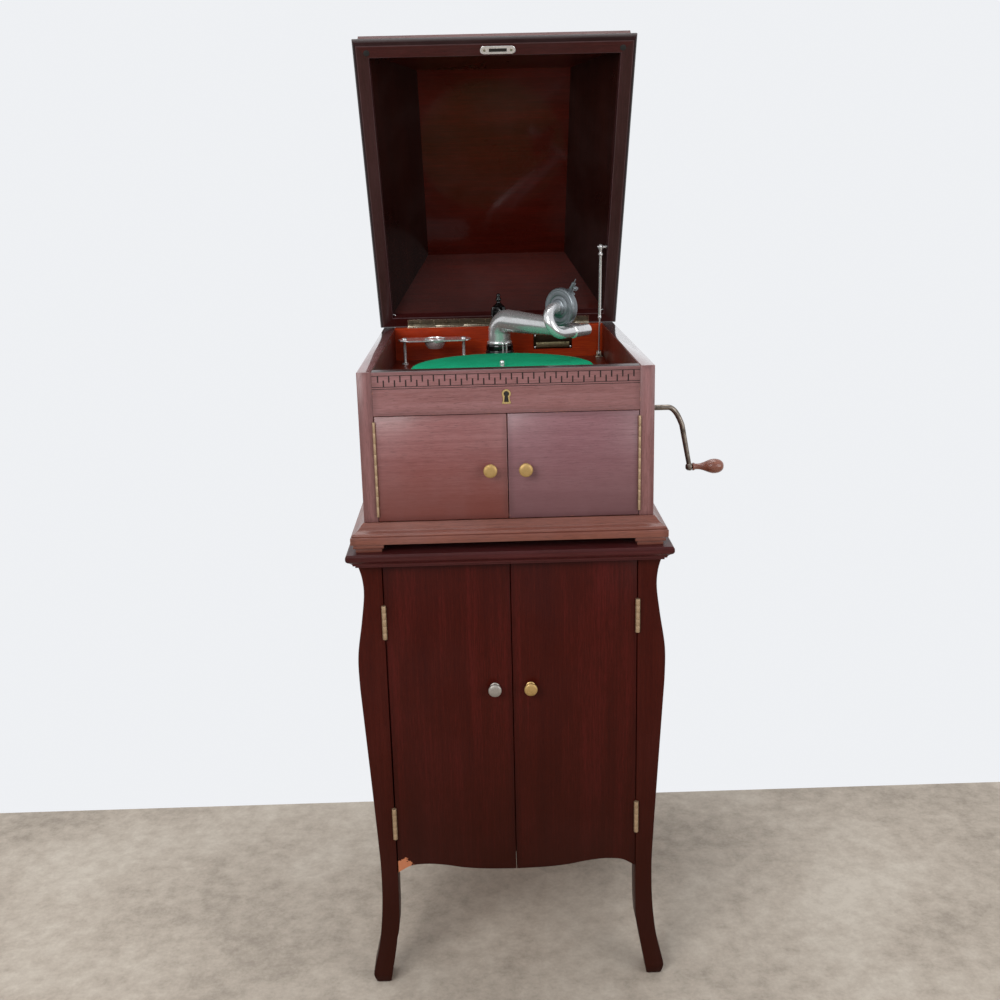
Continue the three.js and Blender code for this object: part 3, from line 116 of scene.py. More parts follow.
@dataclass
class Shell:
    """A surface: points in machine millimetres and faces that index them."""

    points: np.ndarray
    faces: list[list[int]]

    def moved(self, x: float = 0.0, y: float = 0.0, z: float = 0.0) -> "Shell":
        """Returns the shell moved by x, y and z."""
        return Shell(self.points + np.array([x, y, z]), self.faces)

    def placed(self, columns: np.ndarray, origin: Sequence[float]) -> "Shell":
        """Returns the shell with its own X, Y and Z laid along the matrix's columns, from an origin."""
        return Shell(self.points @ np.asarray(columns).T + np.asarray(origin), self.faces)

    def mirrored(self) -> "Shell":
        """Returns the shell mirrored in the middle plane of the case."""
        return Shell(self.points * np.array([-1.0, 1.0, 1.0]), self.faces)

    def corners(self) -> tuple[np.ndarray, np.ndarray]:
        """Returns the shell's lowest and highest corner."""
        return self.points.min(axis=0), self.points.max(axis=0)

    def joined(self, *others: "Shell") -> "Shell":
        """Returns this shell and others as one, each keeping its own closed surface."""
        points, faces = [self.points], list(self.faces)
        count = len(self.points)
        for other in others:
            points.append(other.points)
            faces += [[index + count for index in face] for face in other.faces]
            count += len(other.points)
        return Shell(np.concatenate(points), faces)


LIE_X = np.array([[0, 0, 1], [0, 1, 0], [-1, 0, 0]], float)  # own Z goes along +X
LIE_FRONT = np.array([[1, 0, 0], [0, 0, -1], [0, 1, 0]], float)  # own Z goes to the front
LIE_BACK = np.array([[1, 0, 0], [0, 0, 1], [0, -1, 0]], float)  # own Z goes to the back
LIE_DOWN = np.diag([1.0, -1.0, -1.0])  # own Z goes down and own Y to the front
LIE_SIDE = np.array([[0, 1, 0], [1, 0, 0], [0, 0, 1]], float)  # own X goes to the back and own Y along +X


def together(shells: Sequence[Shell]) -> Shell:
    """Returns several shells as one, each keeping its own closed surface."""
    return shells[0].joined(*shells[1:])


def band_faces(rings: int, around: int, close_rings: bool = False) -> list[list[int]]:
    """Faces between neighbouring rings of a grid of points.

    Args:
        rings: how many rings there are.
        around: how many points each ring has.
        close_rings: whether the last ring also joins the first.

    Returns:
        The faces, four corners each, ring by ring.
    """
    last = rings if close_rings else rings - 1
    ring, step = np.meshgrid(np.arange(last), np.arange(around), indexing="ij")
    following = (ring + 1) % rings
    beside = (step + 1) % around
    here, next_ring = ring * around, following * around
    corners = np.stack([here + step, here + beside, next_ring + beside, next_ring + step], axis=-1)
    return corners.reshape(-1, 4).tolist()


def loft(rings: np.ndarray) -> Shell:
    """Returns a closed surface through rings of points, with a flat face at each end."""
    count, around = rings.shape[:2]
    faces = band_faces(count, around)
    faces.append(list(range(around))[::-1])
    faces.append(list(range((count - 1) * around, count * around)))
    return Shell(rings.reshape(-1, 3), faces)


def lathe(profile: Sequence[Sequence[float]], sides: int = 64, closed: bool = False) -> Shell:
    """A profile turned about Z: x = r cos t, y = r sin t, z = h.

    Args:
        profile: pairs of radius and height. Unless it is closed, it starts and ends on the axis.
        sides: how many steps the turn has.
        closed: whether the profile is a loop that stays off the axis.

    Returns:
        The turned surface.
    """
    pairs = np.asarray(profile, float)
    middle = pairs if closed else pairs[1:-1]
    turn = np.linspace(0.0, TAU, sides, endpoint=False)
    rings = np.empty((len(middle), sides, 3))
    rings[..., 0] = middle[:, :1] * np.cos(turn)
    rings[..., 1] = middle[:, :1] * np.sin(turn)
    rings[..., 2] = middle[:, 1:]
    faces = band_faces(len(middle), sides, close_rings=closed)
    points = rings.reshape(-1, 3)
    if not closed:
        first, last = len(points), len(points) + 1
        poles = np.array([[0.0, 0.0, pairs[0, 1]], [0.0, 0.0, pairs[-1, 1]]])
        points = np.concatenate([points, poles])
        step = np.arange(sides)
        after = (step + 1) % sides
        end = (len(middle) - 1) * sides
        faces += np.stack([after, step, np.full(sides, first)], axis=-1).tolist()
        faces += np.stack([end + step, end + after, np.full(sides, last)], axis=-1).tolist()
    return Shell(points, faces)


def through(keys: Sequence[Sequence[float]], count: int) -> np.ndarray:
    """A smooth curve through keys, each stretch a cubic whose slopes come from the keys beside it.

    Args:
        keys: the points that the curve passes, with any number of coordinates.
        count: how many steps the whole curve has.

    Returns:
        An array of count + 1 points.
    """
    known = np.asarray(keys, float)
    place = np.linspace(0.0, len(known) - 1.0, count + 1)
    start = np.minimum(place.astype(int), len(known) - 2)
    t = (place - start)[:, None]
    before, here = known[np.maximum(start - 1, 0)], known[start]
    there, beyond = known[start + 1], known[np.minimum(start + 2, len(known) - 1)]
    leave, arrive = (there - before) / 2, (beyond - here) / 2
    return (
        (2 * here - 2 * there + leave + arrive) * t**3
        + (3 * there - 3 * here - 2 * leave - arrive) * t**2
        + leave * t
        + here
    )


def rounded(profile: Sequence[Sequence[float]], radius: float = 0.5, steps: int = 3) -> np.ndarray:
    """Rounds the corners of a profile by short curves that start and end near each corner.

    Args:
        profile: the profile's corners.
        radius: how far from a corner its curve starts, at most a third of the shorter side.
        steps: how many steps each curve has.

    Returns:
        The profile with each inner corner replaced by a curve, B(t) = (1-t)^2 a + 2t(1-t) b + t^2 c.
    """
    corners = np.asarray(profile, float)
    before = corners[:-2] - corners[1:-1]
    after = corners[2:] - corners[1:-1]
    long_before = np.linalg.norm(before, axis=1, keepdims=True)
    long_after = np.linalg.norm(after, axis=1, keepdims=True)
    cut = np.minimum(radius, np.minimum(long_before, long_after) / 3)
    a = corners[1:-1] + before / np.maximum(long_before, 1e-9) * cut
    c = corners[1:-1] + after / np.maximum(long_after, 1e-9) * cut
    t = np.linspace(0.0, 1.0, steps)[None, :, None]
    b = corners[1:-1, None]
    curves = (1 - t) ** 2 * a[:, None] + 2 * t * (1 - t) * b + t**2 * c[:, None]
    return np.concatenate([corners[:1], curves.reshape(-1, corners.shape[1]), corners[-1:]])


def turning(profile: Sequence[Sequence[float]], soft: float, sides: int, closed: bool = False) -> Shell:
    """Returns a profile turned about Z, its corners rounded by curves that reach as far as soft."""
    return lathe(rounded(profile, soft), sides, closed)


def stud(radius: float, low: float, high: float, soft: float = 0.3, sides: int = 24) -> Shell:
    """Returns a round stud on Z between two heights, with softened edges."""
    return turning([(0, low), (radius, low), (radius, high), (0, high)], soft, sides)


def sweep(path: np.ndarray, radius: np.ndarray | float, flat: Sequence[float], sides: int = 32) -> Shell:
    """A round bar along a path that stays in one plane.

    Args:
        path: the points of the bar's middle line.
        radius: the bar's radius, one for all or one for each point.
        flat: the direction square to the path's plane.
        sides: how many points each ring has.

    Returns:
        The bar, each ring p + r (cos t n + sin t b), with n in the plane and b square to it.
    """
    line = np.asarray(path, float)
    tangent = np.gradient(line, axis=0)
    tangent /= np.linalg.norm(tangent, axis=1, keepdims=True)
    square = np.asarray(flat, float) / np.linalg.norm(flat)
    across = np.cross(np.broadcast_to(square, tangent.shape), tangent)
    turn = np.linspace(0.0, TAU, sides, endpoint=False)
    size = np.broadcast_to(np.asarray(radius, float), (len(line),))[:, None, None]
    rings = line[:, None] + size * (
        np.cos(turn)[None, :, None] * across[:, None] + np.sin(turn)[None, :, None] * square
    )
    return loft(rings)


def inset(outline: np.ndarray, distance: float) -> np.ndarray:
    """Moves a closed outline inwards, each corner along the half-way line of its two sides."""
    before = outline - np.roll(outline, 1, axis=0)
    after = np.roll(outline, -1, axis=0) - outline
    before /= np.maximum(np.linalg.norm(before, axis=1, keepdims=True), 1e-9)
    after /= np.maximum(np.linalg.norm(after, axis=1, keepdims=True), 1e-9)
    area = np.sum(outline[:, 0] * np.roll(outline[:, 1], -1) - outline[:, 1] * np.roll(outline[:, 0], -1))
    sign = 1.0 if area > 0 else -1.0
    inward = np.stack([-(before + after)[:, 1], (before + after)[:, 0]], axis=1) * sign
    length = np.maximum(np.linalg.norm(inward, axis=1, keepdims=True), 1e-9)
    spread = np.clip(2 / length, 1.0, 1.6)
    return outline + inward / length * distance * spread


def slab(outline: np.ndarray, y0: float, y1: float, edge: float = 1.0) -> Shell:
    """A board cut to an outline in X and Z, with its front and back edges rounded over.

    Args:
        outline: the board's outline, pairs of x and z.
        y0: where its front face is.
        y1: where its back face is.
        edge: how far the rounding reaches.

    Returns:
        The board.
    """
    shares = np.array([1.0, 0.35, 0.0])
    depths = np.array([0.0, 0.3, 1.0]) * edge
    levels = [(y0 + depth, share * edge) for depth, share in zip(depths, shares)]
    levels += [(y1 - depth, share * edge) for depth, share in zip(depths[::-1], shares[::-1])]
    rings = np.empty((len(levels), len(outline), 3))
    for index, (y, distance) in enumerate(levels):
        ring = inset(outline, distance)
        rings[index, :, 0], rings[index, :, 1], rings[index, :, 2] = ring[:, 0], y, ring[:, 1]
    return loft(rings)


def layered(outline: np.ndarray, levels: Sequence[Sequence[float]]) -> Shell:
    """Returns a flat piece cut to an outline in X and Y, from levels of a height and an inset."""
    rings = np.empty((len(levels), len(outline), 3))
    for index, (height, back) in enumerate(levels):
        rings[index, :, :2], rings[index, :, 2] = inset(outline, back), height
    return loft(rings)


def stadium(half: float, radius: float, steps: int) -> np.ndarray:
    """Returns an outline of two half circles, their middles half to each side, and the sides between."""
    turn = np.linspace(-math.pi / 2, math.pi / 2, steps)
    right = np.stack([half + radius * np.cos(turn), radius * np.sin(turn)], axis=1)
    return np.concatenate([right, -right])


def block(low: Sequence[float], high: Sequence[float], edge: float) -> Shell:
    """A board between two corners whose twelve edges are cut back a little."""
    x0, y0, z0 = low
    x1, y1, z1 = high
    rings = []
    for z, back in ((z0, edge), (z0 + edge * 0.3, edge * 0.35), (z0 + edge, 0), (z1 - edge, 0),
                    (z1 - edge * 0.3, edge * 0.35), (z1, edge)):
        rings.append(corner_ring(x0 + back, x1 - back, y0 + back, y1 - back, edge, z))
    return loft(np.array(rings))


def corner_ring(x0: Number, x1: Number, y0: Number, y1: Number, cut: Number, z: Number) -> np.ndarray:
    """Returns a rectangle at a height, or one for each height, with each corner cut in two steps."""
    c, s = cut, cut * 0.3
    flat = [
        (x0 + c, y0), (x1 - c, y0), (x1 - s, y0 + s), (x1, y0 + c), (x1, y1 - c), (x1 - s, y1 - s),
        (x1 - c, y1), (x0 + c, y1), (x0 + s, y1 - s), (x0, y1 - c), (x0, y0 + c), (x0 + s, y0 + s),
    ]
    return np.stack([np.stack(np.broadcast_arrays(x, y, z), axis=-1) for x, y in flat], axis=-2)


def moulding(half: float, y0: float, y1: float, levels: np.ndarray) -> Shell:
    """A moulded frame: rectangles that stand out from a base, one above another.

    Args:
        half: half the base's width.
        y0: where the base's front is.
        y1: where the base's back is.
        levels: rows of an overhang and a height, or of the overhangs of the sides, the front and the
            back, and a height.

    Returns:
        The frame, solid from its first rectangle to its last.
    """
    if levels.shape[1] == 2:
        levels = levels[:, [0, 0, 0, 1]]
    side, front, back, height = levels.T
    left, right, near, far = -half - side, half + side, y0 - front, y1 + back
    corners = ((left, near), (right, near), (right, far), (left, far))
    return loft(np.stack([np.stack([x, y, height], axis=1) for x, y in corners], axis=1))


def screw(radius: float, height: float) -> Shell:
    """Returns a slotted screw's head on Z = 0, its slot a fine dark gap between two halves."""
    half_slot, foot, chamfer = 0.25, -0.4, 0.35
    turn = np.linspace(-1.35, 1.35, 12)[1:-1]
    arc = np.stack([radius * np.sin(turn), radius * np.cos(turn)], axis=1)
    outline = np.concatenate([arc, [(arc[-1, 0], half_slot), (arc[0, 0], half_slot)]])
    first = layered(outline, ((foot, 0.0), (height * 0.6, 0.0), (height, chamfer)))
    second = Shell(first.points * np.array([-1.0, -1.0, 1.0]), first.faces)
    inner, low = radius * 0.97, height * 0.3
    floor = lathe([(0, -0.5), (inner, -0.5), (inner, low), (0, low)], 20)
    return first.joined(second, floor)


# ---------------------------------------------------------------- shader arithmetic


class Value:
    """A number that changes over a surface: a node's socket with Python's own arithmetic."""

    def __init__(self, graph: "Tree", socket: bpy.types.NodeSocket) -> None:
        """Keeps the socket and the graph that it is in."""
        self.graph, self.socket = graph, socket

    def _with(self, operation: str, first: "Value | float", second: "Value | float") -> "Value":
        """Returns the result of a Math node."""
        made = self.graph.node("ShaderNodeMath", {0: first, 1: second}, operation=operation)
        return Value(self.graph, made.outputs[0])

    def __add__(self, other: "Value | float") -> "Value":
        """Returns the sum."""
        return self._with("ADD", self, other)

    def __mul__(self, other: "Value | float") -> "Value":
        """Returns the product."""
        return self._with("MULTIPLY", self, other)

    def __sub__(self, other: "Value | float") -> "Value":
        """Returns the difference."""
        return self._with("SUBTRACT", self, other)

    def __rsub__(self, other: float) -> "Value":
        """Returns a number less this value."""
        return self._with("SUBTRACT", other, self)

    __radd__ = __add__
    __rmul__ = __mul__

    def lesser(self, other: "Value | float") -> "Value":
        """Returns the smaller of two."""
        return self._with("MINIMUM", self, other)

    def greater(self, other: "Value | float") -> "Value":
        """Returns the larger of two."""
        return self._with("MAXIMUM", self, other)

    def size(self) -> "Value":
        """Returns the value without its sign."""
        return self._with("ABSOLUTE", self, 0.0)

    def ramp(self, start: float, end: float, low: float = 0.0, high: float = 1.0) -> "Value":
        """Returns a smooth step from low at start to high at end."""
        made = self.graph.node(
            "ShaderNodeMapRange",
            {"Value": self, "From Min": start, "From Max": end, "To Min": low, "To Max": high},
            interpolation_type="SMOOTHSTEP",
        )
        return Value(self.graph, made.outputs["Result"])


Colour = tuple[float, float, float]
Paint = Colour | bpy.types.NodeSocket


@dataclass
class Tree:
    """The node tree of a material or of the surroundings."""

    owner: bpy.types.Material | bpy.types.World

    def __post_init__(self) -> None:
        """Clears the tree."""
        self.owner.use_nodes = True
        self.tree = self.owner.node_tree
        self.tree.nodes.clear()

    def node(
        self, kind: str, inputs: dict | None = None, stops: Sequence = (), **settings
    ) -> bpy.types.Node:
        """Adds a node.

        Args:
            kind: the node's type.
            inputs: values or links of its sockets, by name or number.
            stops: a colour ramp's stops, pairs of place and colour.
            settings: the node's own settings, which are set before its sockets.

        Returns:
            The node.
        """
        made = self.tree.nodes.new(kind)
        for name, value in settings.items():
            setattr(made, name, value)
        for index, (place, colour) in enumerate(stops):
            elements = made.color_ramp.elements
            stop = elements[index] if index < len(elements) else elements.new(place)
            stop.position, stop.color = place, (*colour, 1.0)
        for name, value in (inputs or {}).items():
            self.plug(made.inputs[name], value)
        return made

    def plug(self, socket: bpy.types.NodeSocket, value: "Value | Paint | float") -> None:
        """Links a socket to a value's or another socket, or sets it."""
        if isinstance(value, Value):
            value = value.socket
        if isinstance(value, bpy.types.NodeSocket):
            self.tree.links.new(value, socket)
        elif socket.type == "RGBA":
            socket.default_value = (*value, 1.0)
        else:
            socket.default_value = value


class Graph(Tree):
    """The node tree of one material."""

    def __post_init__(self) -> None:
        """Adds the shader and the output to a cleared tree."""
        super().__post_init__()
        self.shader = self.node("ShaderNodeBsdfPrincipled")
        self.node("ShaderNodeOutputMaterial", {"Surface": self.shader.outputs[0]})
        self.object_place = self.node("ShaderNodeTexCoord").outputs["Object"]

    def cells(self, size: Colour, turn: Colour = (0.0, 0.0, 0.0)) -> bpy.types.NodeSocket:
        """Returns places on the object counted in cells of a size in metres, in turned axes."""
        made = self.node(
            "ShaderNodeMapping", {"Vector": self.object_place, "Rotation": turn, "Scale": size},
            vector_type="TEXTURE",
        )
        return made.outputs[0]

    def noise(self, place: bpy.types.NodeSocket, detail: float, rough: float, bend: float = 0.0) -> Value:
        """Returns cloudy noise, about 0.5 with a spread of about 0.15."""
        made = self.node(
            "ShaderNodeTexNoise",
            {"Vector": place, "Scale": 1.0, "Detail": detail, "Roughness": rough, "Distortion": bend},
        )
        return Value(self, made.outputs["Fac"])

    def axes(self) -> list[Value]:
        """Returns the object's x, y and z in metres."""
        made = self.node("ShaderNodeSeparateXYZ", {0: self.object_place})
        return [Value(self, made.outputs[index]) for index in range(3)]

    def colours(self, value: Value, stops: Sequence) -> bpy.types.NodeSocket:
        """Returns the colour of a ramp at a value."""
        return self.node("ShaderNodeValToRGB", {0: value}, stops=stops).outputs["Color"]

    def blend(self, share: "Value | float", first: Paint, second: Paint) -> bpy.types.NodeSocket:
        """Returns a mix of two colours, the second by its share."""
        made = self.node("ShaderNodeMix", {"Factor": share, 6: first, 7: second}, data_type="RGBA")
        return made.outputs[2]

    def set(self, **sockets) -> None:
        """Sets or links the shader's sockets, named with _ for a space."""
        for name, value in sockets.items():
            self.plug(self.shader.inputs[name.replace("_", " ")], value)

    def bump(self, height: Value, distance: float, strength: float = 1.0) -> None:
        """Raises the surface by a height times a distance in metres."""
        made = self.node("ShaderNodeBump", {"Height": height, "Distance": distance, "Strength": strength})
        self.plug(self.shader.inputs["Normal"], made.outputs[0])


# ---------------------------------------------------------------- finishes


class Grain(Enum):
    """Which way the wood's fibres run."""

    ALONG_X = (1, 0, 0)
    ALONG_Y = (0, 1, 0)
    ALONG_Z = (0, 0, 1)


def linear(code: str) -> Colour:
    """Returns the linear colour of a six-digit screen colour."""
    parts = [int(code[index : index + 2], 16) / 255 for index in (0, 2, 4)]
    return tuple(part / 12.92 if part <= 0.04045 else ((part + 0.055) / 1.055) ** 2.4 for part in parts)


def share_of(colour: Colour, share: float) -> Colour:
    """Returns a colour made darker, a share of it."""
    return tuple(part * share for part in colour)


class Finish:
    """What every finish shares: one material, made when it is first asked for."""

    made: dict = {}

    def material(self) -> bpy.types.Material:
        """Returns the finish's material."""
        if self not in Finish.made:
            graph = Graph(bpy.data.materials.new(self.name))
            self.dress(graph)
            Finish.made[self] = graph.owner
        return Finish.made[self]


@dataclass(frozen=True)
class Wood(Finish):
    """Mahogany under varnish: streaks along the grain, short dark pores, clouds of haze, worn edges and
    dark edges, partly grime and partly painted shade.

    All places are in metres. fade holds an axis, where another tone is strongest, where it ends, and
    that tone. wear_and_shade_box holds the two corners of a box whose edges are rubbed and darkened,
    the dark partly grime and partly painted shade of the gaps beside them; chip the x, y, z and radius
    where the veneer has come off; and groove_finish_and_shade the places on Y between which a carved
    line turns dark, partly dark finish and partly painted shade in the groove.
    """

    name: str
    slot: str = "mahogany"
    dark: Colour = linear("4a1f1d")
    middle: Colour = linear("6b3230")
    light: Colour = linear("84463f")
    bare: Colour = linear("c07a58")
    grain: Grain = Grain.ALONG_Z
    tilt: float = 0.0
    rough: float = 0.36
    coat: float = 0.6
    coat_rough: float = 0.22
    coat_ior: float = 1.5
    grime_and_shade: float = 0.35
    rub: float = 0.22
    gloss: float = 0.4
    pores: float = 0.3
    haze: float = 0.12
    haze_colour: Colour = linear("a98c8c")
    fade: tuple | None = None
    wear_and_shade_box: tuple | None = None
    chip: tuple | None = None
    groove_finish_and_shade: tuple | None = None

    def dress(self, graph: Graph) -> None:
        """Builds the varnished wood."""
        along = np.array(self.grain.value, float)

        def cells(length: float, width: float) -> bpy.types.NodeSocket:
            """Returns places counted in cells of a length along the grain and a width across it."""
            return graph.cells(tuple(length * along + width * (1 - along)), (self.tilt, 0.0, 0.0))

        streak = graph.noise(cells(0.12, 0.0032), 5.0, 0.62, 0.25)
        broad = graph.noise(cells(0.4, 0.05), 2.5, 0.5, 0.6)
        fleck = graph.noise(cells(0.02, 0.0014), 3.0, 0.6)
        pore = graph.noise(cells(0.009, 0.0006), 2.0, 0.5).ramp(0.56, 0.72)
        cloud = graph.noise(graph.cells((0.14, 0.14, 0.14)), 4.0, 0.6)
        speck = graph.noise(graph.cells((0.006, 0.006, 0.006)), 3.0, 0.6)
        figure = streak * 0.3 + broad * 0.4 + fleck * 0.3
        colour = graph.colours(figure, [(0.34, self.dark), (0.5, self.middle), (0.66, self.light)])
        shade = share_of(self.dark, 0.4)
        colour = graph.blend(pore * self.pores, colour, shade)
        if self.fade is not None:
            axis, start, end, tone = self.fade
            place = graph.axes()[axis] + (cloud - 0.5) * (0.3 * (end - start))
            colour = graph.blend(place.ramp(start, end, 0.85, 0.0), colour, tone)
        colour = graph.blend(cloud.ramp(0.42, 0.72, 0.0, self.haze), colour, self.haze_colour)
        rough = self.rough + (cloud - 0.5) * 0.3 + pore * 0.1
        if self.wear_and_shade_box is not None:
            edge = self.edge_distance(graph)
            # Darker near the box's edges: partly grime, partly painted shade of the gaps round the doors
            # and boards.
            grime_and_shade = (edge + (cloud - 0.5) * 0.008).ramp(0.0, 0.011, self.grime_and_shade, 0.0)
            colour = graph.blend(grime_and_shade, colour, shade)
            reach = (speck - 0.5) * 0.009 + (streak - 0.5) * 0.004
            rub = (reach - edge).ramp(-0.0003, 0.0012, 0.0, self.rub)
            colour = graph.blend(rub, colour, self.bare)
            rough = rough + rub * 0.25
        if self.chip is not None:
            colour, rough = self.chipped(graph, speck, colour, rough)
        if self.groove_finish_and_shade is not None:
            # The carved lines are darkened: partly dark finish, partly painted shade in the grooves.
            inside = graph.axes()[1].ramp(*self.groove_finish_and_shade)
            colour = graph.blend(inside * 0.95, colour, share_of(shade, 0.3))
        graph.set(
            Base_Color=colour, Roughness=rough, Coat_Weight=self.coat, Coat_Roughness=self.coat_rough,
            Coat_IOR=self.coat_ior, Specular_IOR_Level=self.gloss,
        )
        graph.bump(pore * -1.0 + streak * 0.35 + speck * 0.12, 0.0001, 0.4)

    def edge_distance(self, graph: Graph) -> Value:
        """Returns the distance to the box's nearest edge, the middle of the three to its sides."""
        low, high = self.wear_and_shade_box
        near = []
        for value, start, end in zip(graph.axes(), low, high):
            near.append((value - start).size().lesser((value - end).size()))
        first = near[0].lesser(near[1])
        second = near[0].greater(near[1]).lesser(near[2])
        return first.greater(second)

    def chipped(self, graph: Graph, speck: Value, colour: Paint, rough: Value) -> tuple[Paint, Value]:
        """Returns the colour and roughness with bare wood round the chip's point."""
        x, y, z, radius = self.chip
        ends = {0: graph.object_place, 1: (x, y, z)}
        away = graph.node("ShaderNodeVectorMath", ends, operation="DISTANCE")
        distance = Value(graph, away.outputs["Value"])
        gone = (radius - distance + (speck - 0.5) * 0.03).ramp(-0.0006, 0.0006)
        return graph.blend(gone, colour, self.bare), rough + gone * 0.3


@dataclass(frozen=True)
class Metal(Finish):
    """Plated or solid metal with tarnish in clouds and fine rubbing marks."""

    name: str
    slot: str
    colour: Colour
    tarnish: Colour
    rough: float = 0.16
    share: float = 0.4
    metallic: float = 1.0

    def dress(self, graph: Graph) -> None:
        """Builds the metal."""
        cloud = graph.noise(graph.cells((0.012, 0.012, 0.012)), 5.0, 0.65)
        fine = graph.noise(graph.cells((0.0009, 0.0009, 0.006)), 3.0, 0.6)
        spot = graph.noise(graph.cells((0.0022, 0.0022, 0.0022)), 2.0, 0.5).ramp(0.63, 0.72)
        dull = cloud.ramp(0.42, 0.7, 0.0, self.share)
        colour = graph.blend(dull, self.colour, self.tarnish)
        colour = graph.blend(spot * (0.5 * self.share), colour, share_of(self.tarnish, 0.35))
        graph.set(
            Base_Color=colour,
            Metallic=self.metallic,
            Roughness=self.rough + dull * 0.35 + spot * 0.15 + (fine - 0.5) * 0.12,
        )
        graph.bump(fine + cloud * 0.6 - spot, 0.00004, 0.5)


@dataclass(frozen=True)
class Felt(Finish):
    """Pressed wool: short fibres that catch the light."""

    name: str = "green_felt"
    slot: str = "felt"
    deep: Colour = linear("0fa070")
    light: Colour = linear("22bd8a")

    def dress(self, graph: Graph) -> None:
        """Builds the felt."""
        fibre = graph.noise(graph.cells((0.0006, 0.0006, 0.0006)), 3.0, 0.7)
        tuft = graph.noise(graph.cells((0.004, 0.004, 0.004)), 4.0, 0.6)
        cloud = graph.noise(graph.cells((0.05, 0.05, 0.05)), 3.0, 0.5)
        lit = fibre * 0.35 + tuft * 0.35 + cloud * 0.3
        colour = graph.colours(lit, [(0.36, self.deep), (0.62, self.light)])
        graph.set(Base_Color=colour, Roughness=0.95 - tuft * 0.05, Specular_IOR_Level=0.1)
        graph.bump(fibre + tuft * 0.7, 0.00035, 0.7)


NICKEL = Metal("nickel_plate", "nickel", linear("e4e3e4"), linear("b3aba2"), 0.2, 0.2, 0.72)
WORN_NICKEL = Metal("worn_nickel", "nickel", linear("b9b0a0"), linear("6b5a42"), 0.26, 0.75)
HINGE_DARK = Metal("dark_hinge", "nickel", linear("6a6052"), linear("3a3126"), 0.4, 0.8, 0.7)
BRASS = Metal("old_brass", "brass", linear("b8935a"), linear("6e4f22"), 0.3, 0.6)
PALE_BRASS = Metal("rubbed_brass", "brass", linear("b89e80"), linear("8a745a"), 0.42, 0.5, 0.75)
KNOB_BRASS = Metal("knob_brass", "brass", linear("bb9a63"), linear("97773f"), 0.4, 0.5, 0.6)
KNOB_NICKEL = Metal("knob_nickel", "nickel", linear("a7a29b"), linear("8b857d"), 0.38, 0.4, 0.7)
STEEL = Metal("dull_steel", "steel", linear("8b8178"), linear("4a4038"), 0.34, 0.7)
GILT = Metal("gilt_screw", "brass", linear("dcc083"), linear("9a7c42"), 0.25, 0.35, 0.7)
BOX_GREY = Metal("sound_box_grey", "nickel", linear("7c8286"), linear("575c60"), 0.36, 0.5, 0.75)
PLATE_DARK = Metal("plate_metal", "nickel", linear("3a2c20"), linear("1c1510"), 0.35, 0.7)
PLATE_PALE = Metal("panel_metal", "nickel", linear("8d8264"), linear("4d4630"), 0.4, 0.8)
JAPAN = Metal("black_japan", "cast_iron", linear("161413"), linear("2c2724"), 0.3, 0.5, 0.0)
FELT = Felt()

CASE = Wood(
    "case_wood", dark=linear("6f4341"), middle=linear("885b5a"), light=linear("9a6f70"), coat=0.3,
    haze=0.12, haze_colour=linear("957a7d"), pores=0.5,
)
CASE_ACROSS = replace(CASE, name="case_wood_across", grain=Grain.ALONG_X)
INSIDE = Wood(
    "inside_wood", dark=linear("8a2105"), middle=linear("ab330b"), light=linear("c44914"), haze=0.02,
    grain=Grain.ALONG_X, rough=0.34, coat=0.25, gloss=0.2,
)
STAND = Wood(
    "stand_wood", slot="dark_mahogany", dark=linear("330c08"), middle=linear("3e110a"),
    light=linear("4a1811"), haze=0.03, haze_colour=linear("54383a"), rough=0.36, coat=0.1, gloss=0.06,
    fade=(2, 0.05, 0.5, linear("2a0f07")),
)
STAND_ACROSS = replace(
    STAND, name="stand_wood_across", grain=Grain.ALONG_X, fade=None, dark=linear("3b1514"),
    middle=linear("491d1d"), light=linear("572728"), coat=0.3,
)
RAW = Wood(
    "raw_wood", slot="bare_wood", dark=linear("7a5233"), middle=linear("9a6d45"), light=linear("b3875b"),
    bare=linear("c39a6d"), haze=0.1, haze_colour=linear("8a7a68"), rough=0.7, coat=0.0,
    grain=Grain.ALONG_X,
)


# ---------------------------------------------------------------- pieces


def in_metres(points: Sequence[float]) -> tuple:
    """Returns a point of the machine in the part's frame, in metres."""
    return tuple(np.asarray(points, float) * MM + ZERO)


def in_scene(name: str, data: bpy.types.ID) -> bpy.types.Object:
    """Returns a new object with its data, put into the scene."""
    made = bpy.data.objects.new(name, data)
    bpy.context.scene.collection.objects.link(made)
    return made


def make(
    name: str,
    shell: Shell,
    finish: Finish,
    body: str,
    stands_for: Sequence[str] = (),
    sharp: float = 32.0,
) -> bpy.types.Object:
    """Makes a piece of the machine, dresses it and lets it ride on its body.

    Args:
        name: the piece's name.
        shell: its surface in machine millimetres.
        finish: its finish.
        body: the CAD body that it moves with.
        stands_for: the CAD nodes that it is shown in place of.
        sharp: the angle in degrees from which an edge stays sharp.

    Returns:
        The piece.
    """
    mesh = bpy.data.meshes.new(name)
    mesh.from_pydata((shell.points * MM + ZERO).tolist(), [], shell.faces)
    turned = bmesh.new()
    turned.from_mesh(mesh)
    bmesh.ops.recalc_face_normals(turned, faces=turned.faces)
    turned.to_mesh(mesh)
    turned.free()
    mesh.polygons.foreach_set("use_smooth", np.ones(len(mesh.polygons), bool))
    mesh.set_sharp_from_angle(angle=math.radians(sharp))
    mesh.materials.append(finish.material())
    piece = in_scene(name, mesh)
    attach(piece, body)
    if stands_for:
        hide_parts(*stands_for)
    log.info("made %s: %d faces on %s", name, len(mesh.polygons), body)
    return piece


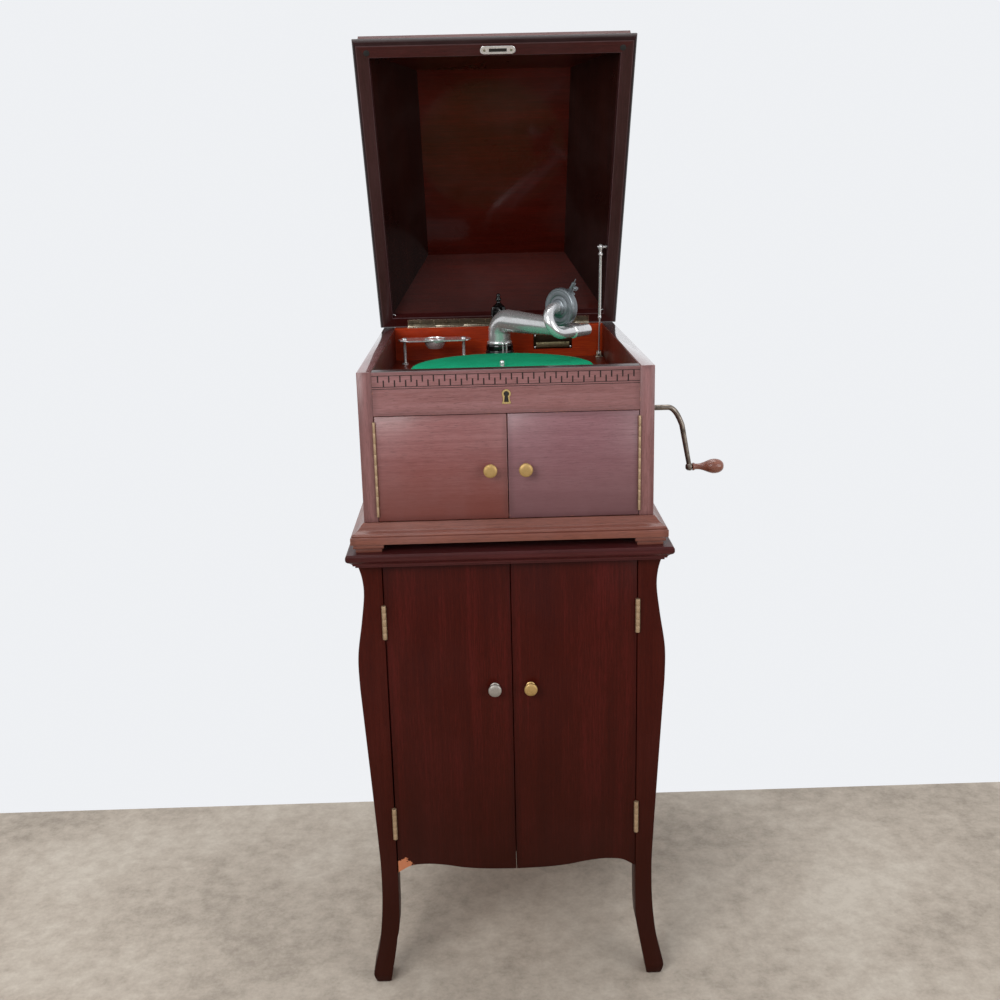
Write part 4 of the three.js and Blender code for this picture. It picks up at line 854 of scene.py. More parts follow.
def dress_node(node: str, finish: Finish) -> None:
    """Gives a CAD node that stays in view its material."""
    slots = frame["nodes"][node].data.materials
    slots.clear()
    slots.append(finish.material())


def edge_box(low: Sequence[float], high: Sequence[float]) -> tuple:
    """Returns two corners in metres, as a finish needs them for its rubbed edges and their dark band of
    grime and painted shade.
    """
    return in_metres(low), in_metres(high)


def rubbed_and_shaded(finish: Wood, name: str, shell: Shell, **changes) -> Wood:
    """Returns a wood under a new name, with changes, whose rubbed edges, darkened by grime and painted
    shade, are those of a shell's box.
    """
    return replace(finish, name=name, wear_and_shade_box=edge_box(*shell.corners()), **changes)


# ---------------------------------------------------------------- the record cabinet


@dataclass
class Knob:
    """A turned door knob with a small foot ring and a low crowned face."""

    radius: float = 9.5
    reach: float = 15.5
    crown: float = 5.6

    def shell(self, x: float, y: float, z: float) -> Shell:
        """Returns the knob standing out from a front face at y."""
        stem, r = self.reach - self.crown, self.radius
        profile = [
            (0, 0), (7, 0), (7, 1), (4.6, 2), (3.6, 4), (3.9, stem - 1.5), (r - 1.4, stem),
            (r, stem + 1.2), (r, stem + 3.2), (r - 0.9, stem + 4.4), (0.6 * r, stem + 5.3),
            (0, self.reach),
        ]
        return turning(profile, 0.8, 48).placed(LIE_FRONT, (x, y, z))


@dataclass
class UprightHinge:
    """A butt or strap hinge on an upright pin: rolled knuckles and two leaves let into the wood."""

    x: float
    y: float
    z0: float
    z1: float
    radius: float
    knuckles: int
    leaf: float = 13.0
    leaf_thick: float = 1.5
    off_pin: float = 0.3
    gap: float = 0.25

    @classmethod
    def at(cls, node: str, radius: float, knuckles: int) -> "UprightHinge":
        """Returns a hinge where the CAD node with the end knuckles is."""
        box = Extent.of(node)
        return cls(box.low[0] + radius, box.low[1] + radius, box.low[2], box.high[2], radius, knuckles)

    def half(self, first: bool, side: int) -> Shell:
        """Returns one leaf with its own knuckles.

        Args:
            first: whether it is the leaf with the end knuckles.
            side: 1 for the leaf on the outer side of the pin, -1 for the other.

        Returns:
            The leaf.
        """
        step = (self.z1 - self.z0) / self.knuckles
        shells = []
        for index in range(0 if first else 1, self.knuckles, 2):
            low = self.z0 + index * step + self.gap / 2
            shells.append(stud(self.radius, low, low + step - self.gap, 0.35, 28).moved(self.x, self.y))
        inner = self.x + side * self.off_pin
        outer = inner + side * self.leaf_thick
        near, far = sorted((inner, outer))
        shells.append(block((near, self.y, self.z0), (far, self.y + self.leaf, self.z1), 0.25))
        return together(shells)


@dataclass
class RecordCabinet:
    """The stand: four curved posts, plain sides, a moulded top and two scalloped doors.

    outer, foot, toe and heel are a post's smooth edges: pairs of how far it reaches and a share of its
    height. scallop is the doors' lower edge: pairs of a share of the door's width and a rise.
    """

    door_half: float = 177.3
    seam: float = 0.9
    door_depth: float = 18.0
    door_share: float = 0.265  # of the stand's height
    knob_x: float = 25.5
    outer: tuple = (
        (34, 1), (28.5, 0.97), (27, 0.932), (32, 0.872), (39.5, 0.798), (40, 0.735), (37.5, 0.66),
        (31, 0.485), (26.5, 0.354), (24.5, 0.273), (26, 0.182), (32, 0.096), (41.5, 0.034), (42, 0.018),
        (38, 0),
    )
    foot: tuple = ((0, 1), (0, 0.6), (0, 0.19), (5.5, 0.1), (13.5, 0.03), (17, 0))
    toe: tuple = (
        (0, 1), (0, 0.6), (0, 0.2), (1, 0.14), (4.5, 0.085), (10.5, 0.036), (12.5, 0.02), (10, 0),
    )
    heel: tuple = ((40, 1), (40, 0.6), (40, 0.2), (36, 0.1), (29, 0.04), (26, 0))
    scallop: tuple = (
        (0, 0), (0.25, 1.2), (0.44, 4.5), (0.6, 9.8), (0.75, 12.3), (0.88, 10.5), (0.96, 3.5), (1, -1),
    )
    top: float = field(init=False)
    inner: float = field(init=False)
    door_low: float = field(init=False)

    def __post_init__(self) -> None:
        """Reads the posts' and the doors' heights from the frame."""
        self.top = float(Extent.of("stand_leg_front_right").high[2])
        self.inner = self.door_half + self.seam / 2
        self.door_low = self.door_share * float(Extent.of("stand_top").high[2])

    def reach(self, keys: Sequence[Sequence[float]], heights: np.ndarray) -> np.ndarray:
        """Returns how far a smooth edge of the post reaches at each height."""
        curve = through([(out, self.top * share) for out, share in keys], 160)[::-1]
        return np.interp(heights, np.maximum.accumulate(curve[:, 1]), curve[:, 0])

    def post(self) -> Shell:
        """Returns the right front post: at each height a rectangle between its four smooth edges."""
        ankle = 0.2 * self.top
        z = np.concatenate([np.linspace(0.0, ankle, 60), np.linspace(ankle, self.top, 110)[1:]])
        edge = np.interp(z, [0.0, 0.9, 2.2], [1.5, 0.4, 0.0])
        edge[-1] = 0.5
        shell = corner_ring(
            self.inner + self.reach(self.foot, z) + edge, self.inner + self.reach(self.outer, z) - edge,
            FRONT - self.reach(self.toe, z) + edge, FRONT + self.reach(self.heel, z) - edge, 2.0, z,
        )
        return loft(shell)

    def door(self) -> Shell:
        """Returns the right door, whose lower edge is a smooth scallop."""
        near, far = self.seam / 2, self.door_half - self.seam / 2
        keys = [(near + share * (far - near), self.door_low + rise) for share, rise in self.scallop]
        top = self.top - self.seam
        outline = np.concatenate([through(keys, 80), [(far, top), (near, top)]])
        return slab(outline, FRONT, FRONT + self.door_depth, 1.1)

    def build_posts(self) -> None:
        """Makes the four posts."""
        front = self.post()
        back = Shell(front.points * np.array([1.0, -1.0, 1.0]), front.faces)
        for name, shell in (
            ("front_right", front), ("front_left", front.mirrored()),
            ("rear_right", back), ("rear_left", back.mirrored()),
        ):
            finish = rubbed_and_shaded(STAND, f"post_wood_{name}", shell)
            make(f"curved_post_{name}", shell, finish, "cabinet", [f"stand_leg_{name}"])

    def build_top(self) -> None:
        """Makes the moulded top board: a cove below a half-round edge."""
        box = Extent.of("stand_top")
        over, base = box.high[0] - CASE_HALF, box.low[2]
        thick = box.high[2] - base
        keys = [
            (over - 8.8, 0.16), (over - 8.4, 0.26), (over - 6, 0.38), (over - 2.2, 0.5), (over - 0.5, 0.6),
            (over, 0.7), (over, 0.82), (over - 0.7, 0.93), (over - 2.2, 1.0),
        ]
        curve = through([(out, base + thick * share) for out, share in keys], 40)
        levels = np.concatenate([[(over - 12, base), (over - 12, base + 0.13 * thick)], curve])
        levels[:, 1] = np.clip(np.maximum.accumulate(levels[:, 1]), base, base + thick)
        levels[:, 0] = np.minimum(levels[:, 0], over)
        finish = replace(STAND_ACROSS, name="stand_top_wood", wear_and_shade_box=edge_box(box.low, box.high))
        shell = moulding(CASE_HALF, FRONT, BACK, levels)
        make("moulded_stand_top", shell, finish, "cabinet", ["stand_top"])

    def build_doors(self) -> None:
        """Makes the doors, their knobs and their hinges."""
        door = self.door()
        mirrored = door.mirrored()
        low = mirrored.corners()[0]
        chip = (*in_metres((low[0] + 4, low[1], low[2] + 5)), 0.019)
        right = rubbed_and_shaded(STAND, "stand_door_wood", door, light=linear("521814"), rub=0.0)
        left = rubbed_and_shaded(right, "stand_door_wood_chipped", mirrored, chip=chip)
        make("scalloped_door_right", door, right, "stand_door_right", ["stand_door_right"])
        make("scalloped_door_left", mirrored, left, "stand_door_left", ["stand_door_left"])
        level = Extent.of("stand_knob_right")
        knob = Knob().shell(self.knob_x, FRONT - 0.3, (level.low[2] + level.high[2]) / 2)
        make("cabinet_knob_right", knob, KNOB_BRASS, "stand_door_right", ["stand_knob_right"])
        make("cabinet_knob_left", knob.mirrored(), KNOB_NICKEL, "stand_door_left", ["stand_knob_left"])
        for place in ("upper", "lower"):
            hinge = UprightHinge.at(f"stand_hinge_{place}_right_fixed", 3.4, 5)
            for side in ("right", "left"):
                fixed, moving = hinge.half(True, 1), hinge.half(False, -1)
                if side == "left":
                    fixed, moving = fixed.mirrored(), moving.mirrored()
                node, piece = f"stand_hinge_{place}_{side}", f"butt_hinge_{place}_{side}"
                make(f"{piece}_fixed", fixed, PALE_BRASS, "cabinet", [f"{node}_fixed"])
                make(f"{piece}_door", moving, PALE_BRASS, f"stand_door_{side}", [f"{node}_leaf"])

    def build(self) -> None:
        """Makes the whole stand."""
        self.build_posts()
        self.build_top()
        self.build_doors()
        for node in ("stand_side_left", "stand_side_right"):
            dress_node(node, replace(STAND, name="stand_side_wood"))
        dress_node("stand_back", replace(STAND, name="stand_back_wood", rough=0.5, coat=0.05))
        dress_node("record_rack", RAW)


# ---------------------------------------------------------------- the machine's case


@dataclass
class MachineCase:
    """The case with its plinth, front rail, small doors and the board that carries the motor."""

    back_wall: float = 18.0
    cleat: float = 12.0
    cleat_start: float = 20.0  # behind the front
    plinth_foot: float = 12.0
    plinth_fascia: float = 10.5
    plinth_rise: float = 16.5
    foot_size: float = 42.0
    foot_step: float = 3.0
    knob_x: float = 24.0
    knob_below: float = 136.0  # below the top of the case, as the next two
    keyhole_below: float = 37.0
    plate_below: tuple = (41.0, 15.0)
    plate_x: tuple = (59.4, 125.8)
    strap_radius: float = 1.9

    def build_sides(self) -> None:
        """Makes the two side boards, each with the cleat that the motor board rests on."""
        box = Extent.of("case_side_right")
        underside = Extent.of("motor_board").low[2]
        board = block((INNER, box.low[1], box.low[2]), box.high, 1.0)
        cleat = block(
            (box.low[0], FRONT + self.cleat_start, underside - self.cleat),
            (INNER + 1, BACK - self.back_wall, underside), 0.5,
        )
        shell = board.joined(cleat)
        for side, sign, piece, plain in (
            ("right", 1.0, shell, board), ("left", -1.0, shell.mirrored(), board.mirrored()),
        ):
            finish = rubbed_and_shaded(CASE, f"case_side_wood_{side}", plain)
            polish = replace(
                finish, name=f"case_side_top_{side}", rough=0.12, coat=1.0, coat_rough=0.06, coat_ior=2.2,
                gloss=1.0, grime_and_shade=0.0,
            )
            # The inner faces get the inside wood made much darker: painted shade inside the case.
            inner_face_shade = replace(
                INSIDE, name=f"case_inner_face_shade_{side}", grain=Grain.ALONG_Y, dark=linear("32110c"),
                middle=linear("451813"), light=linear("54211b"),
            )
            made = make(f"side_board_{side}", piece, finish, "cabinet", [f"case_side_{side}"])
            made.data.materials.append(polish.material())
            made.data.materials.append(inner_face_shade.material())
            self.choose_side_finishes(made.data, sign)

    def choose_side_finishes(self, mesh: bpy.types.Mesh, sign: float) -> None:
        """Gives a side board's top its second finish, the polish, and its inner face its third, a much
        darker copy of the inside wood that paints the shade inside the case.
        """
        normals, middles = np.empty(len(mesh.polygons) * 3), np.empty(len(mesh.polygons) * 3)
        mesh.polygons.foreach_get("normal", normals)
        mesh.polygons.foreach_get("center", middles)
        top = (normals[2::3] > 0.9) & (middles[2::3] > (CASE_TOP - 1.0) * MM)
        inner = normals[0::3] * sign < -0.9
        mesh.polygons.foreach_set("material_index", top.astype(int) + 2 * inner)

    def build_plinth(self) -> None:
        """Makes the plinth: a flat fascia, a step, then an ogee up to the case, on four feet."""
        box = Extent.of("plinth")
        over = box.high[0] - CASE_HALF
        rise = self.plinth_rise
        base = box.low[2] + self.plinth_foot
        shoulder = base + self.plinth_fascia
        band = [
            (over - 1.4, base), (over - 0.3, base + 0.4), (over, base + 1.4), (over, shoulder - 1.2),
            (over - 0.3, shoulder - 0.3), (over - 0.8, shoulder), (over - 2.6, shoulder),
        ]
        ogee = through(
            [
                (over - 2.5, shoulder + 0.02 * rise), (over - 2, shoulder + 0.1 * rise),
                (over - 3.6, shoulder + 0.24 * rise), (over * 0.52, shoulder + 0.42 * rise),
                (over * 0.34, shoulder + 0.62 * rise), (over * 0.2, shoulder + 0.84 * rise),
                (1.2, box.high[2]),
            ],
            36,
        )
        shell = moulding(CASE_HALF, FRONT, BACK, np.concatenate([band, ogee]))
        half, step = self.foot_size / 2, self.foot_step
        far = np.array([CASE_HALF + over - 3, BACK + over - 3])
        layers = ((half, box.low[2] + 6.0, base + 1.0), (half - step, box.low[2], box.low[2] + 7.0))
        feet = []
        for corner in ((-1, -1), (-1, 1), (1, -1), (1, 1)):
            middle = (far - half) * corner
            for reach, low, high in layers:
                feet.append(block((*(middle - reach), low), (*(middle + reach), high), 0.8))
        finish = replace(
            CASE_ACROSS, name="plinth_wood", wear_and_shade_box=edge_box(box.low, box.high), dark=linear("613227"),
            middle=linear("784538"), light=linear("8e5746"),
        )
        make("moulded_plinth", shell.joined(*feet), finish, "cabinet", ["plinth"])

    def build_doors(self) -> None:
        """Makes the two small doors, their knobs and their long strap hinges."""
        box = Extent.of("upper_door_right")
        shell = block(box.low, box.high, 1.0)
        hinge = UprightHinge.at("upper_hinge_right_fixed", self.strap_radius, 9)
        knob = Knob().shell(self.knob_x, FRONT - 0.3, CASE_TOP - self.knob_below)
        low_z, high_z = box.low[2] * MM, box.high[2] * MM
        tones = {
            "left": {
                "dark": linear("6f3d3a"), "middle": linear("855251"), "light": linear("976665"),
                "fade": (2, low_z - 0.01, high_z - 0.01, linear("6c2f26")),
            },
            "right": {
                "dark": linear("6c4146"), "middle": linear("7f545a"), "light": linear("90666c"),
                "fade": (2, low_z - 0.01, high_z - 0.01, linear("6a464b")),
            },
        }
        for side in ("right", "left"):
            pieces = [shell, knob, hinge.half(True, 1), hinge.half(False, -1)]
            if side == "left":
                pieces = [piece.mirrored() for piece in pieces]
            door, turned, fixed, moving = pieces
            body, node = f"upper_door_{side}", f"upper_hinge_{side}"
            finish = rubbed_and_shaded(CASE_ACROSS, f"small_door_wood_{side}", door, **tones[side])
            make(f"small_door_{side}", door, finish, body, [f"upper_door_{side}"])
            make(f"case_knob_{side}", turned, KNOB_BRASS, body, [f"upper_knob_{side}"])
            make(f"strap_hinge_{side}_fixed", fixed, PALE_BRASS, "cabinet", [f"{node}_fixed"])
            make(f"strap_hinge_{side}_door", moving, PALE_BRASS, body, [f"{node}_leaf"])

    def build_plate(self) -> None:
        """Makes the bare plate on the back wall, held by four small screws."""
        face = BACK - self.back_wall
        x0, x1 = self.plate_x
        z0, z1 = (CASE_TOP - below for below in self.plate_below)
        plate = block((x0, face - 0.9, z0), (x1, face + 0.3, z1), 0.4)
        panel = block((x0 + 4.5, face - 1.15, z0 + 2.4), (x1 - 4.5, face - 0.7, z0 + 11.5), 0.3)
        heads = [
            screw(1.5, 0.5).placed(LIE_FRONT, (x, face - 0.9, z))
            for x in (x0 + 2.6, x1 - 2.6) for z in (z0 + 3, z1 - 3)
        ]
        make("bare_plate", plate, PLATE_DARK, "cabinet")
        make("plate_panel", panel, PLATE_PALE, "cabinet")
        make("plate_screws", together(heads), NICKEL, "cabinet")

    def build_keyhole(self) -> None:
        """Makes the black sheet behind the keyhole, painted shade inside the hole: a skirt below and a
        round crown.
        """
        skirt = np.array([(-3.4, -7.7), (3.4, -7.7), (2.2, 0.6)])
        radius, rise = 3.8, 3.5
        turn = np.linspace(-0.9, math.pi + 0.9, 24)
        crown = np.stack([radius * np.cos(turn), rise + radius * np.sin(turn)], axis=1)
        outline = np.concatenate([skirt, crown]) + np.array([0.0, CASE_TOP - self.keyhole_below])
        shell = slab(outline, FRONT + 0.45, FRONT + 1.3, 0.05)
        # The black sheet is painted shade inside the keyhole.
        make("keyhole_painted_shade", shell, replace(JAPAN, rough=0.7, name="hole"), "cabinet")

    def dress_rail(self) -> None:
        """Gives the front rail its wood: dark in the fret's lines, partly dark finish and partly painted
        shade, and redder towards the back, a painted reflection of the orange inside of the case.
        """
        rail = Extent.of("front_rail")
        front, back = rail.low[1] * MM + ZERO[1], rail.high[1] * MM + ZERO[1]
        # Redder towards the back of the rail: a painted reflection of the orange back wall in the rail's
        # top.
        behind = (1, back - 8.0 * MM, front + 5.0 * MM, linear("a03818"))
        dress_node("front_rail", replace(
            CASE_ACROSS, name="fret_wood", groove_finish_and_shade=(front + 0.25 * MM, front + 0.9 * MM),
            wear_and_shade_box=edge_box(rail.low, rail.high), fade=behind,
        ))

    def build(self) -> None:
        """Makes the whole case."""
        self.build_sides()
        self.build_plinth()
        self.build_doors()
        self.build_plate()
        self.dress_rail()
        self.build_keyhole()
        dress_node("case_back", INSIDE)
        dress_node("motor_board", replace(
            INSIDE, name="board_wood", dark=linear("5c1a0a"), middle=linear("73230f"),
            light=linear("8a2f16"),
        ))
        dress_node("louvres", replace(CASE_ACROSS, name="louvre_wood"))
        dress_node("key_escutcheon", GILT)


# ---------------------------------------------------------------- the lid


@dataclass
class Lid:
    """The raised lid: a moulded rim, steep sloping insides and a flat panel.

    It is worked out closed, with the hinge's pin on X through zero and the front towards -Y.
    """

    gap: float = 1.0
    depth: float = 100.0
    panel: float = 13.0
    rim_width: float = 17.0
    rim_depth: float = 13.0
    panel_inset: tuple = (80.0, 84.0, 77.0)  # from the sides, the front and the hinge
    lip: float = 6.5
    band: float = 38.0
    shoulder: float = 11.0
    hinge_half: float = 157.0
    hinge_radius: float = 2.4
    hinge_leaf: float = 13.0
    knuckles: int = 13
    leaf_proud: float = 0.25
    lock_x: float = 4.0
    bumper_x: float = 184.5
    bumper_back: float = 9.0  # from the lid's front
    stay_length: float = 122.0
    angle: float = field(init=False)
    pin: np.ndarray = field(init=False)

    def __post_init__(self) -> None:
        """Reads the pin and the lid's opening angle from the joint."""
        joint = joint_named("lid_hinge")
        self.angle = math.radians(joint["range_deg"][1])
        self.pin = pivot_of("lid_hinge")

    def raised(self, shell: Shell) -> Shell:
        """Returns a shell of the closed lid where it is with the lid up."""
        c, s = math.cos(-self.angle), math.sin(-self.angle)
        columns = np.array([[1, 0, 0], [0, c, -s], [0, s, c]])
        return shell.placed(columns, (0.0, self.pin[1], self.pin[2]))

    def build_shell(self) -> None:
        """Makes the lid's shell as one closed surface, its inside and outside grained by side."""
        y1 = -self.gap
        y0 = y1 - (BACK - FRONT)
        rim = self.gap / 2
        deep = self.depth + self.panel
        top = self.panel_inset[0] - self.panel * 1.35
        width, lip = self.rim_width, self.lip
        outside = np.array(
            [
                (0.0, 0.0), (1.4, 0.3), (lip * 0.5, 1.5), (lip * 0.75, 3.4), (lip * 0.93, 6.4), (lip, 10),
                (lip * 0.97, 12.8), (lip * 0.8, 15.4), (lip * 0.45, 17.3), (0.4, 18.2), (-0.5, 18.6),
                (-0.5, self.band - 1.2), (-1.0, self.band - 0.2), (-2.2, self.band + 0.4),
                (-self.shoulder * 0.6, self.band + 1.8), (-self.shoulder, self.band + 5),
                (-top, deep - 6), (-top - 1.5, deep - 5.2), (-top - 1.5, deep - 2),
                (-top - 2.8, deep - 0.75), (-top - 4, deep),
            ]
        )
        inside = np.array(
            [
                (-width - 0.7, self.rim_depth + 0.9), (-width, self.rim_depth - 0.6), (-width, 1.0),
                (-width + 0.4, 0.3), (-width + 1.2, 0.0),
            ]
        )
        plain = np.concatenate([inside, outside])
        panel = [(*(-np.array(self.panel_inset)), self.depth)]
        levels = np.concatenate([panel, plain[:, [0, 0, 0, 1]]]) + np.array([0.0, 0.0, 0.0, rim])
        shell = self.raised(moulding(CASE_HALF, y0, y1, levels))
        piece = make("panelled_lid", shell, self.wood("panel", True), "lid", ["lid_shell"], 20.0)
        for part in ("slope", "rim", "arris", "lip", "outside"):
            for across in (True, False):
                piece.data.materials.append(self.wood(part, across).material())
        slope, edge, arris, roll, outer = range(5)  # in the order of the finishes above
        count, first, roll_end = len(levels) - 1, len(inside), len(inside) + 10
        bands = np.full(count, outer)
        bands[:roll_end] = roll
        bands[: first + 1] = arris
        bands[:3] = bands[first] = edge
        bands[0], bands[first + 1] = slope, arris
        index = np.zeros(len(piece.data.polygons), int)
        index[: count * 4] = (1 + 2 * bands[:, None] + (np.arange(4) % 2)[None, :]).ravel()
        index[-1] = 1 + 2 * outer
        piece.data.polygons.foreach_set("material_index", index)

    def wood(self, part: str, across: bool) -> Wood:
        """Returns the finish of a part of the lid.

        Args:
            part: panel, slope, rim, arris, lip or outside.
            across: whether the grain runs from side to side.

        Returns:
            The finish.
        """
        # The inside's side slopes get darker tones than the front and hinge-side slopes, painted shade on
        # the lid's side walls; the arris band's paler tones are a painted highlight along the lid's outer
        # edges.
        tones = {
            "panel": ("2d0703", "3c0d06", "501009"), "slope": ("170806", "200c09", "2a110d"),
            "floor": ("2b0a05", "3a100a", "48160e"), "front": ("2a0e0d", "3a1514", "481e1d"),
            "rim": ("281312", "351b1a", "412426"), "arris": ("3a2626", "4a3335", "5a4143"),
            "lip": ("190b0b", "241211", "301a19"), "outside": ("3a1412", "4c1d19", "5e2620"),
        }
        key = {"slope": "floor", "rim": "front"}.get(part, part) if across else part
        dark, middle, light = (linear(code) for code in tones[key])
        return Wood(
            f"lid_{part}_{'across' if across else 'along'}", dark=dark, middle=middle, light=light,
            grain=Grain.ALONG_X if across else Grain.ALONG_Y, tilt=0.0 if across else -self.angle,
            rough=0.3, haze=0.02, coat=0.0 if part in ("lip", "outside") else 0.28, coat_rough=0.1,
            gloss=0.08,
        )

    def build_hinge(self) -> None:
        """Makes the long hinge: leaves let into the lid and the case, with knuckles along the pin."""
        half, proud, top = self.hinge_half, self.leaf_proud, self.gap / 2
        step = 2 * half / self.knuckles
        knuckles: dict[bool, list[Shell]] = {True: [], False: []}
        for index in range(self.knuckles):
            low = -half + index * step + 0.15
            knuckle = stud(self.hinge_radius, low, low + step - 0.3)
            knuckles[index % 2 == 1].append(knuckle.placed(LIE_X, (0, 0, 0)))
        near, far = -self.gap - self.hinge_leaf, -self.gap - 3.4
        on_lid = block((-half, near, top - proud), (half, -0.5, top + 1.2), 0.2)
        on_case = block((-half, near, -top - 1.2), (half, -0.5, -top + 0.2), 0.2)
        lid_leaf = self.raised(on_lid.joined(*knuckles[True]))
        case_leaf = on_case.joined(*knuckles[False]).moved(0, self.pin[1], self.pin[2])
        make("long_hinge_on_lid", lid_leaf, HINGE_DARK, "lid", ["lid_hinge_lid_leaf"])
        strips = [block((-half, y, top - 0.42), (half, y + 1.1, top + 0.6), 0.12) for y in (near, far)]
        for x in np.linspace(1 - half, half - 1, 8):
            strips.append(block((x - 0.8, near, top - 0.38), (x + 0.8, far, top + 0.6), 0.12))
        make("hinge_edges", self.raised(together(strips)), WORN_NICKEL, "lid")
        make("long_hinge_on_case", case_leaf, WORN_NICKEL, "cabinet", ["lid_hinge_case_leaf"])
        places = np.linspace(-half + 22, half - 22, 7)
        heads = [screw(1.9, 0.2).placed(LIE_DOWN, (x, -8.5, top - proud)) for x in places]
        make("hinge_screws_on_lid", self.raised(together(heads)), WORN_NICKEL, "lid")

    def build_fittings(self) -> None:
        """Makes the lock's plate with painted shade in its slot, the small bumpers at the front corners
        and the hooks by the hinge.
        """
        y0 = -self.gap - (BACK - FRONT)
        rim = self.gap / 2
        middle, half = y0 + self.rim_width / 2, 19.5

        def below(shell: Shell, x: float, y: float = middle, z: float = rim) -> Shell:
            """Returns a shell hung under the closed lid, then raised with it."""
            return self.raised(shell.placed(LIE_DOWN, (x, y, z)))

        plate = layered(stadium(half, 6.0, 14), ((-1.2, 0.0), (0.1, 0.0), (0.35, 0.35)))
        make("lock_plate", below(plate, self.lock_x), NICKEL, "lid", ["lock_strike"])
        # A black block in the plate's slot: painted shade inside the slot.
        slot = block((-13.0, -2.5, -0.3), (13.0, 2.5, 0.42), 0.2)
        make("lock_slot_shade", below(slot, self.lock_x), JAPAN, "lid")
        heads = [below(screw(1.9, 0.45), self.lock_x + x, z=rim - 0.3) for x in (-half, half)]
        make("lock_screws", together(heads), WORN_NICKEL, "lid")
        bumper = turning([(0, -0.5), (4.6, -0.5), (4.4, 0.4), (2.6, 0.75), (0, 0.8)], 0.3, 32)
        pads = [below(bumper, x, y0 + self.bumper_back) for x in (-self.bumper_x, self.bumper_x)]
        make("lid_bumpers", together(pads), replace(JAPAN, name="bumper_felt", rough=0.8), "lid")
        arc, bow = np.linspace(0.0, math.pi, 18), 5.0
        hooks = []
        for side in (-1.0, 1.0):
            out, back = side * (CASE_HALF - 17.3 - bow * np.sin(arc)), -15.0 + bow * np.cos(arc)
            path = np.stack([out, back, 6.5 - bow / 2 * np.cos(arc)], axis=1)
            hooks.append(self.raised(sweep(path, 0.8, (0, 0.45, 0.9), 12)))
        make("corner_hooks", together(hooks), NICKEL, "lid")

    def build_stay(self) -> None:
        """Makes the telescoping stay: an eye and a sleeve on the lid, and a rod down to its bracket."""
        upper = pivot_of("stay_pivot")
        axis = np.array(joint_named("stay_slide")["axis"], float)
        box = Extent.of("stay_bracket")
        foot_y = (box.low[1] + box.high[1]) / 2
        length = (upper[1] - foot_y) / -axis[1]
        columns = np.stack([np.array([1.0, 0, 0]), np.cross(-axis, [1.0, 0, 0]), -axis], axis=1)
        low = -self.stay_length
        profile = [
            (0, low), (2.4, low), (2.9, low + 0.4), (2.9, low + 4.2), (2.3, low + 5), (2.3, -15),
            (4.1, -13.4), (4.1, -11), (2.3, -9.4), (2.3, -7), (2.9, -4.6), (3.9, -2.2), (4.2, 0),
            (3.9, 2.2), (2.2, 4.0), (0, 4.4),
        ]
        sleeve = turning(profile, 0.6, 32).placed(columns, upper)
        pin = stud(2.2, -5, 10.2, 0.5).placed(LIE_X, upper)
        make("stay_sleeve_tube", sleeve.joined(pin), NICKEL, "stay_sleeve", ["lid_stay_sleeve"])
        bar = stud(1.4, 1 - length, 118 - length).placed(columns, upper)
        eye = stud(3.6, -1.6, 1.6, 0.4, 32).placed(LIE_X, upper + axis * length)
        make("stay_inner_rod", bar.joined(eye), NICKEL, "stay_rod", ["lid_stay_rod"])
        turn = np.linspace(0.0, math.pi, 16)
        arch = np.stack([4.5 * np.cos(turn), 6.5 + 4.5 * np.sin(turn)], axis=1)
        cheek = slab(np.concatenate([arch, [(-6.0, 0.5), (6.0, 0.5)]]), -0.9, 0.9, 0.3)
        x = upper[0]
        parts = [
            block((x - 6.5, foot_y - 11, BOARD_TOP), (x + 6.5, foot_y + 11, BOARD_TOP + 2), 0.4),
            cheek.placed(LIE_SIDE, (x + 3.1, foot_y, BOARD_TOP)),
            cheek.placed(LIE_SIDE, (x - 3.1, foot_y, BOARD_TOP)),
            screw(2.4, 0.6).moved(x, foot_y - 8, BOARD_TOP + 2),
            screw(2.4, 0.6).moved(x, foot_y + 8, BOARD_TOP + 2),
        ]
        make("stay_foot", together(parts), WORN_NICKEL, "cabinet", ["stay_bracket"])

    def build(self) -> None:
        """Makes the lid and what is on it."""
        self.build_shell()
        self.build_hinge()
        self.build_fittings()
        self.build_stay()


# ---------------------------------------------------------------- turntable, arm and tray


@dataclass
class Turntable:
    """The plated turntable, its felt and its spindle."""

    felt_margin: float = 2.5
    felt_thick: float = 1.6

    def build(self) -> None:
        """Makes the turntable."""
        box = Extent.of("turntable")
        felt_top = Extent.of("turntable_felt").high[2]
        top = felt_top - self.felt_thick
        x, y = pivot_of("turntable_spin")[:2]
        r, rim = (box.high[0] - box.low[0]) / 2, top - 9.0
        felt_radius = r - self.felt_margin
        under = top - 2.4
        hub = 3.6
        profile = [
            (0, box.low[2]), (hub, box.low[2]), (hub, under - 10), (9, under - 9), (21, under),
            (r - 3, under), (r - 2.2, rim), (r - 0.6, rim), (r, rim + 0.8), (r, top - 1.6),
            (r - 0.6, top - 0.5), (r - 1.8, top), (hub, top), (hub, box.high[2] - 3),
            (3.0, box.high[2] - 1.2), (1.6, box.high[2] - 0.2), (0, box.high[2]),
        ]
        platter = turning(profile, 0.5, 160).moved(x, y)
        make("turned_turntable", platter, NICKEL, "turntable", ["turntable"])
        felt = [
            (3.9, top), (felt_radius, top), (felt_radius, felt_top - 0.5), (felt_radius - 0.7, felt_top),
            (3.9, felt_top),
        ]
        disc = turning(felt, 0.3, 160, closed=True).moved(x, y)
        make("felt_disc", disc, FELT, "turntable", ["turntable_felt"])


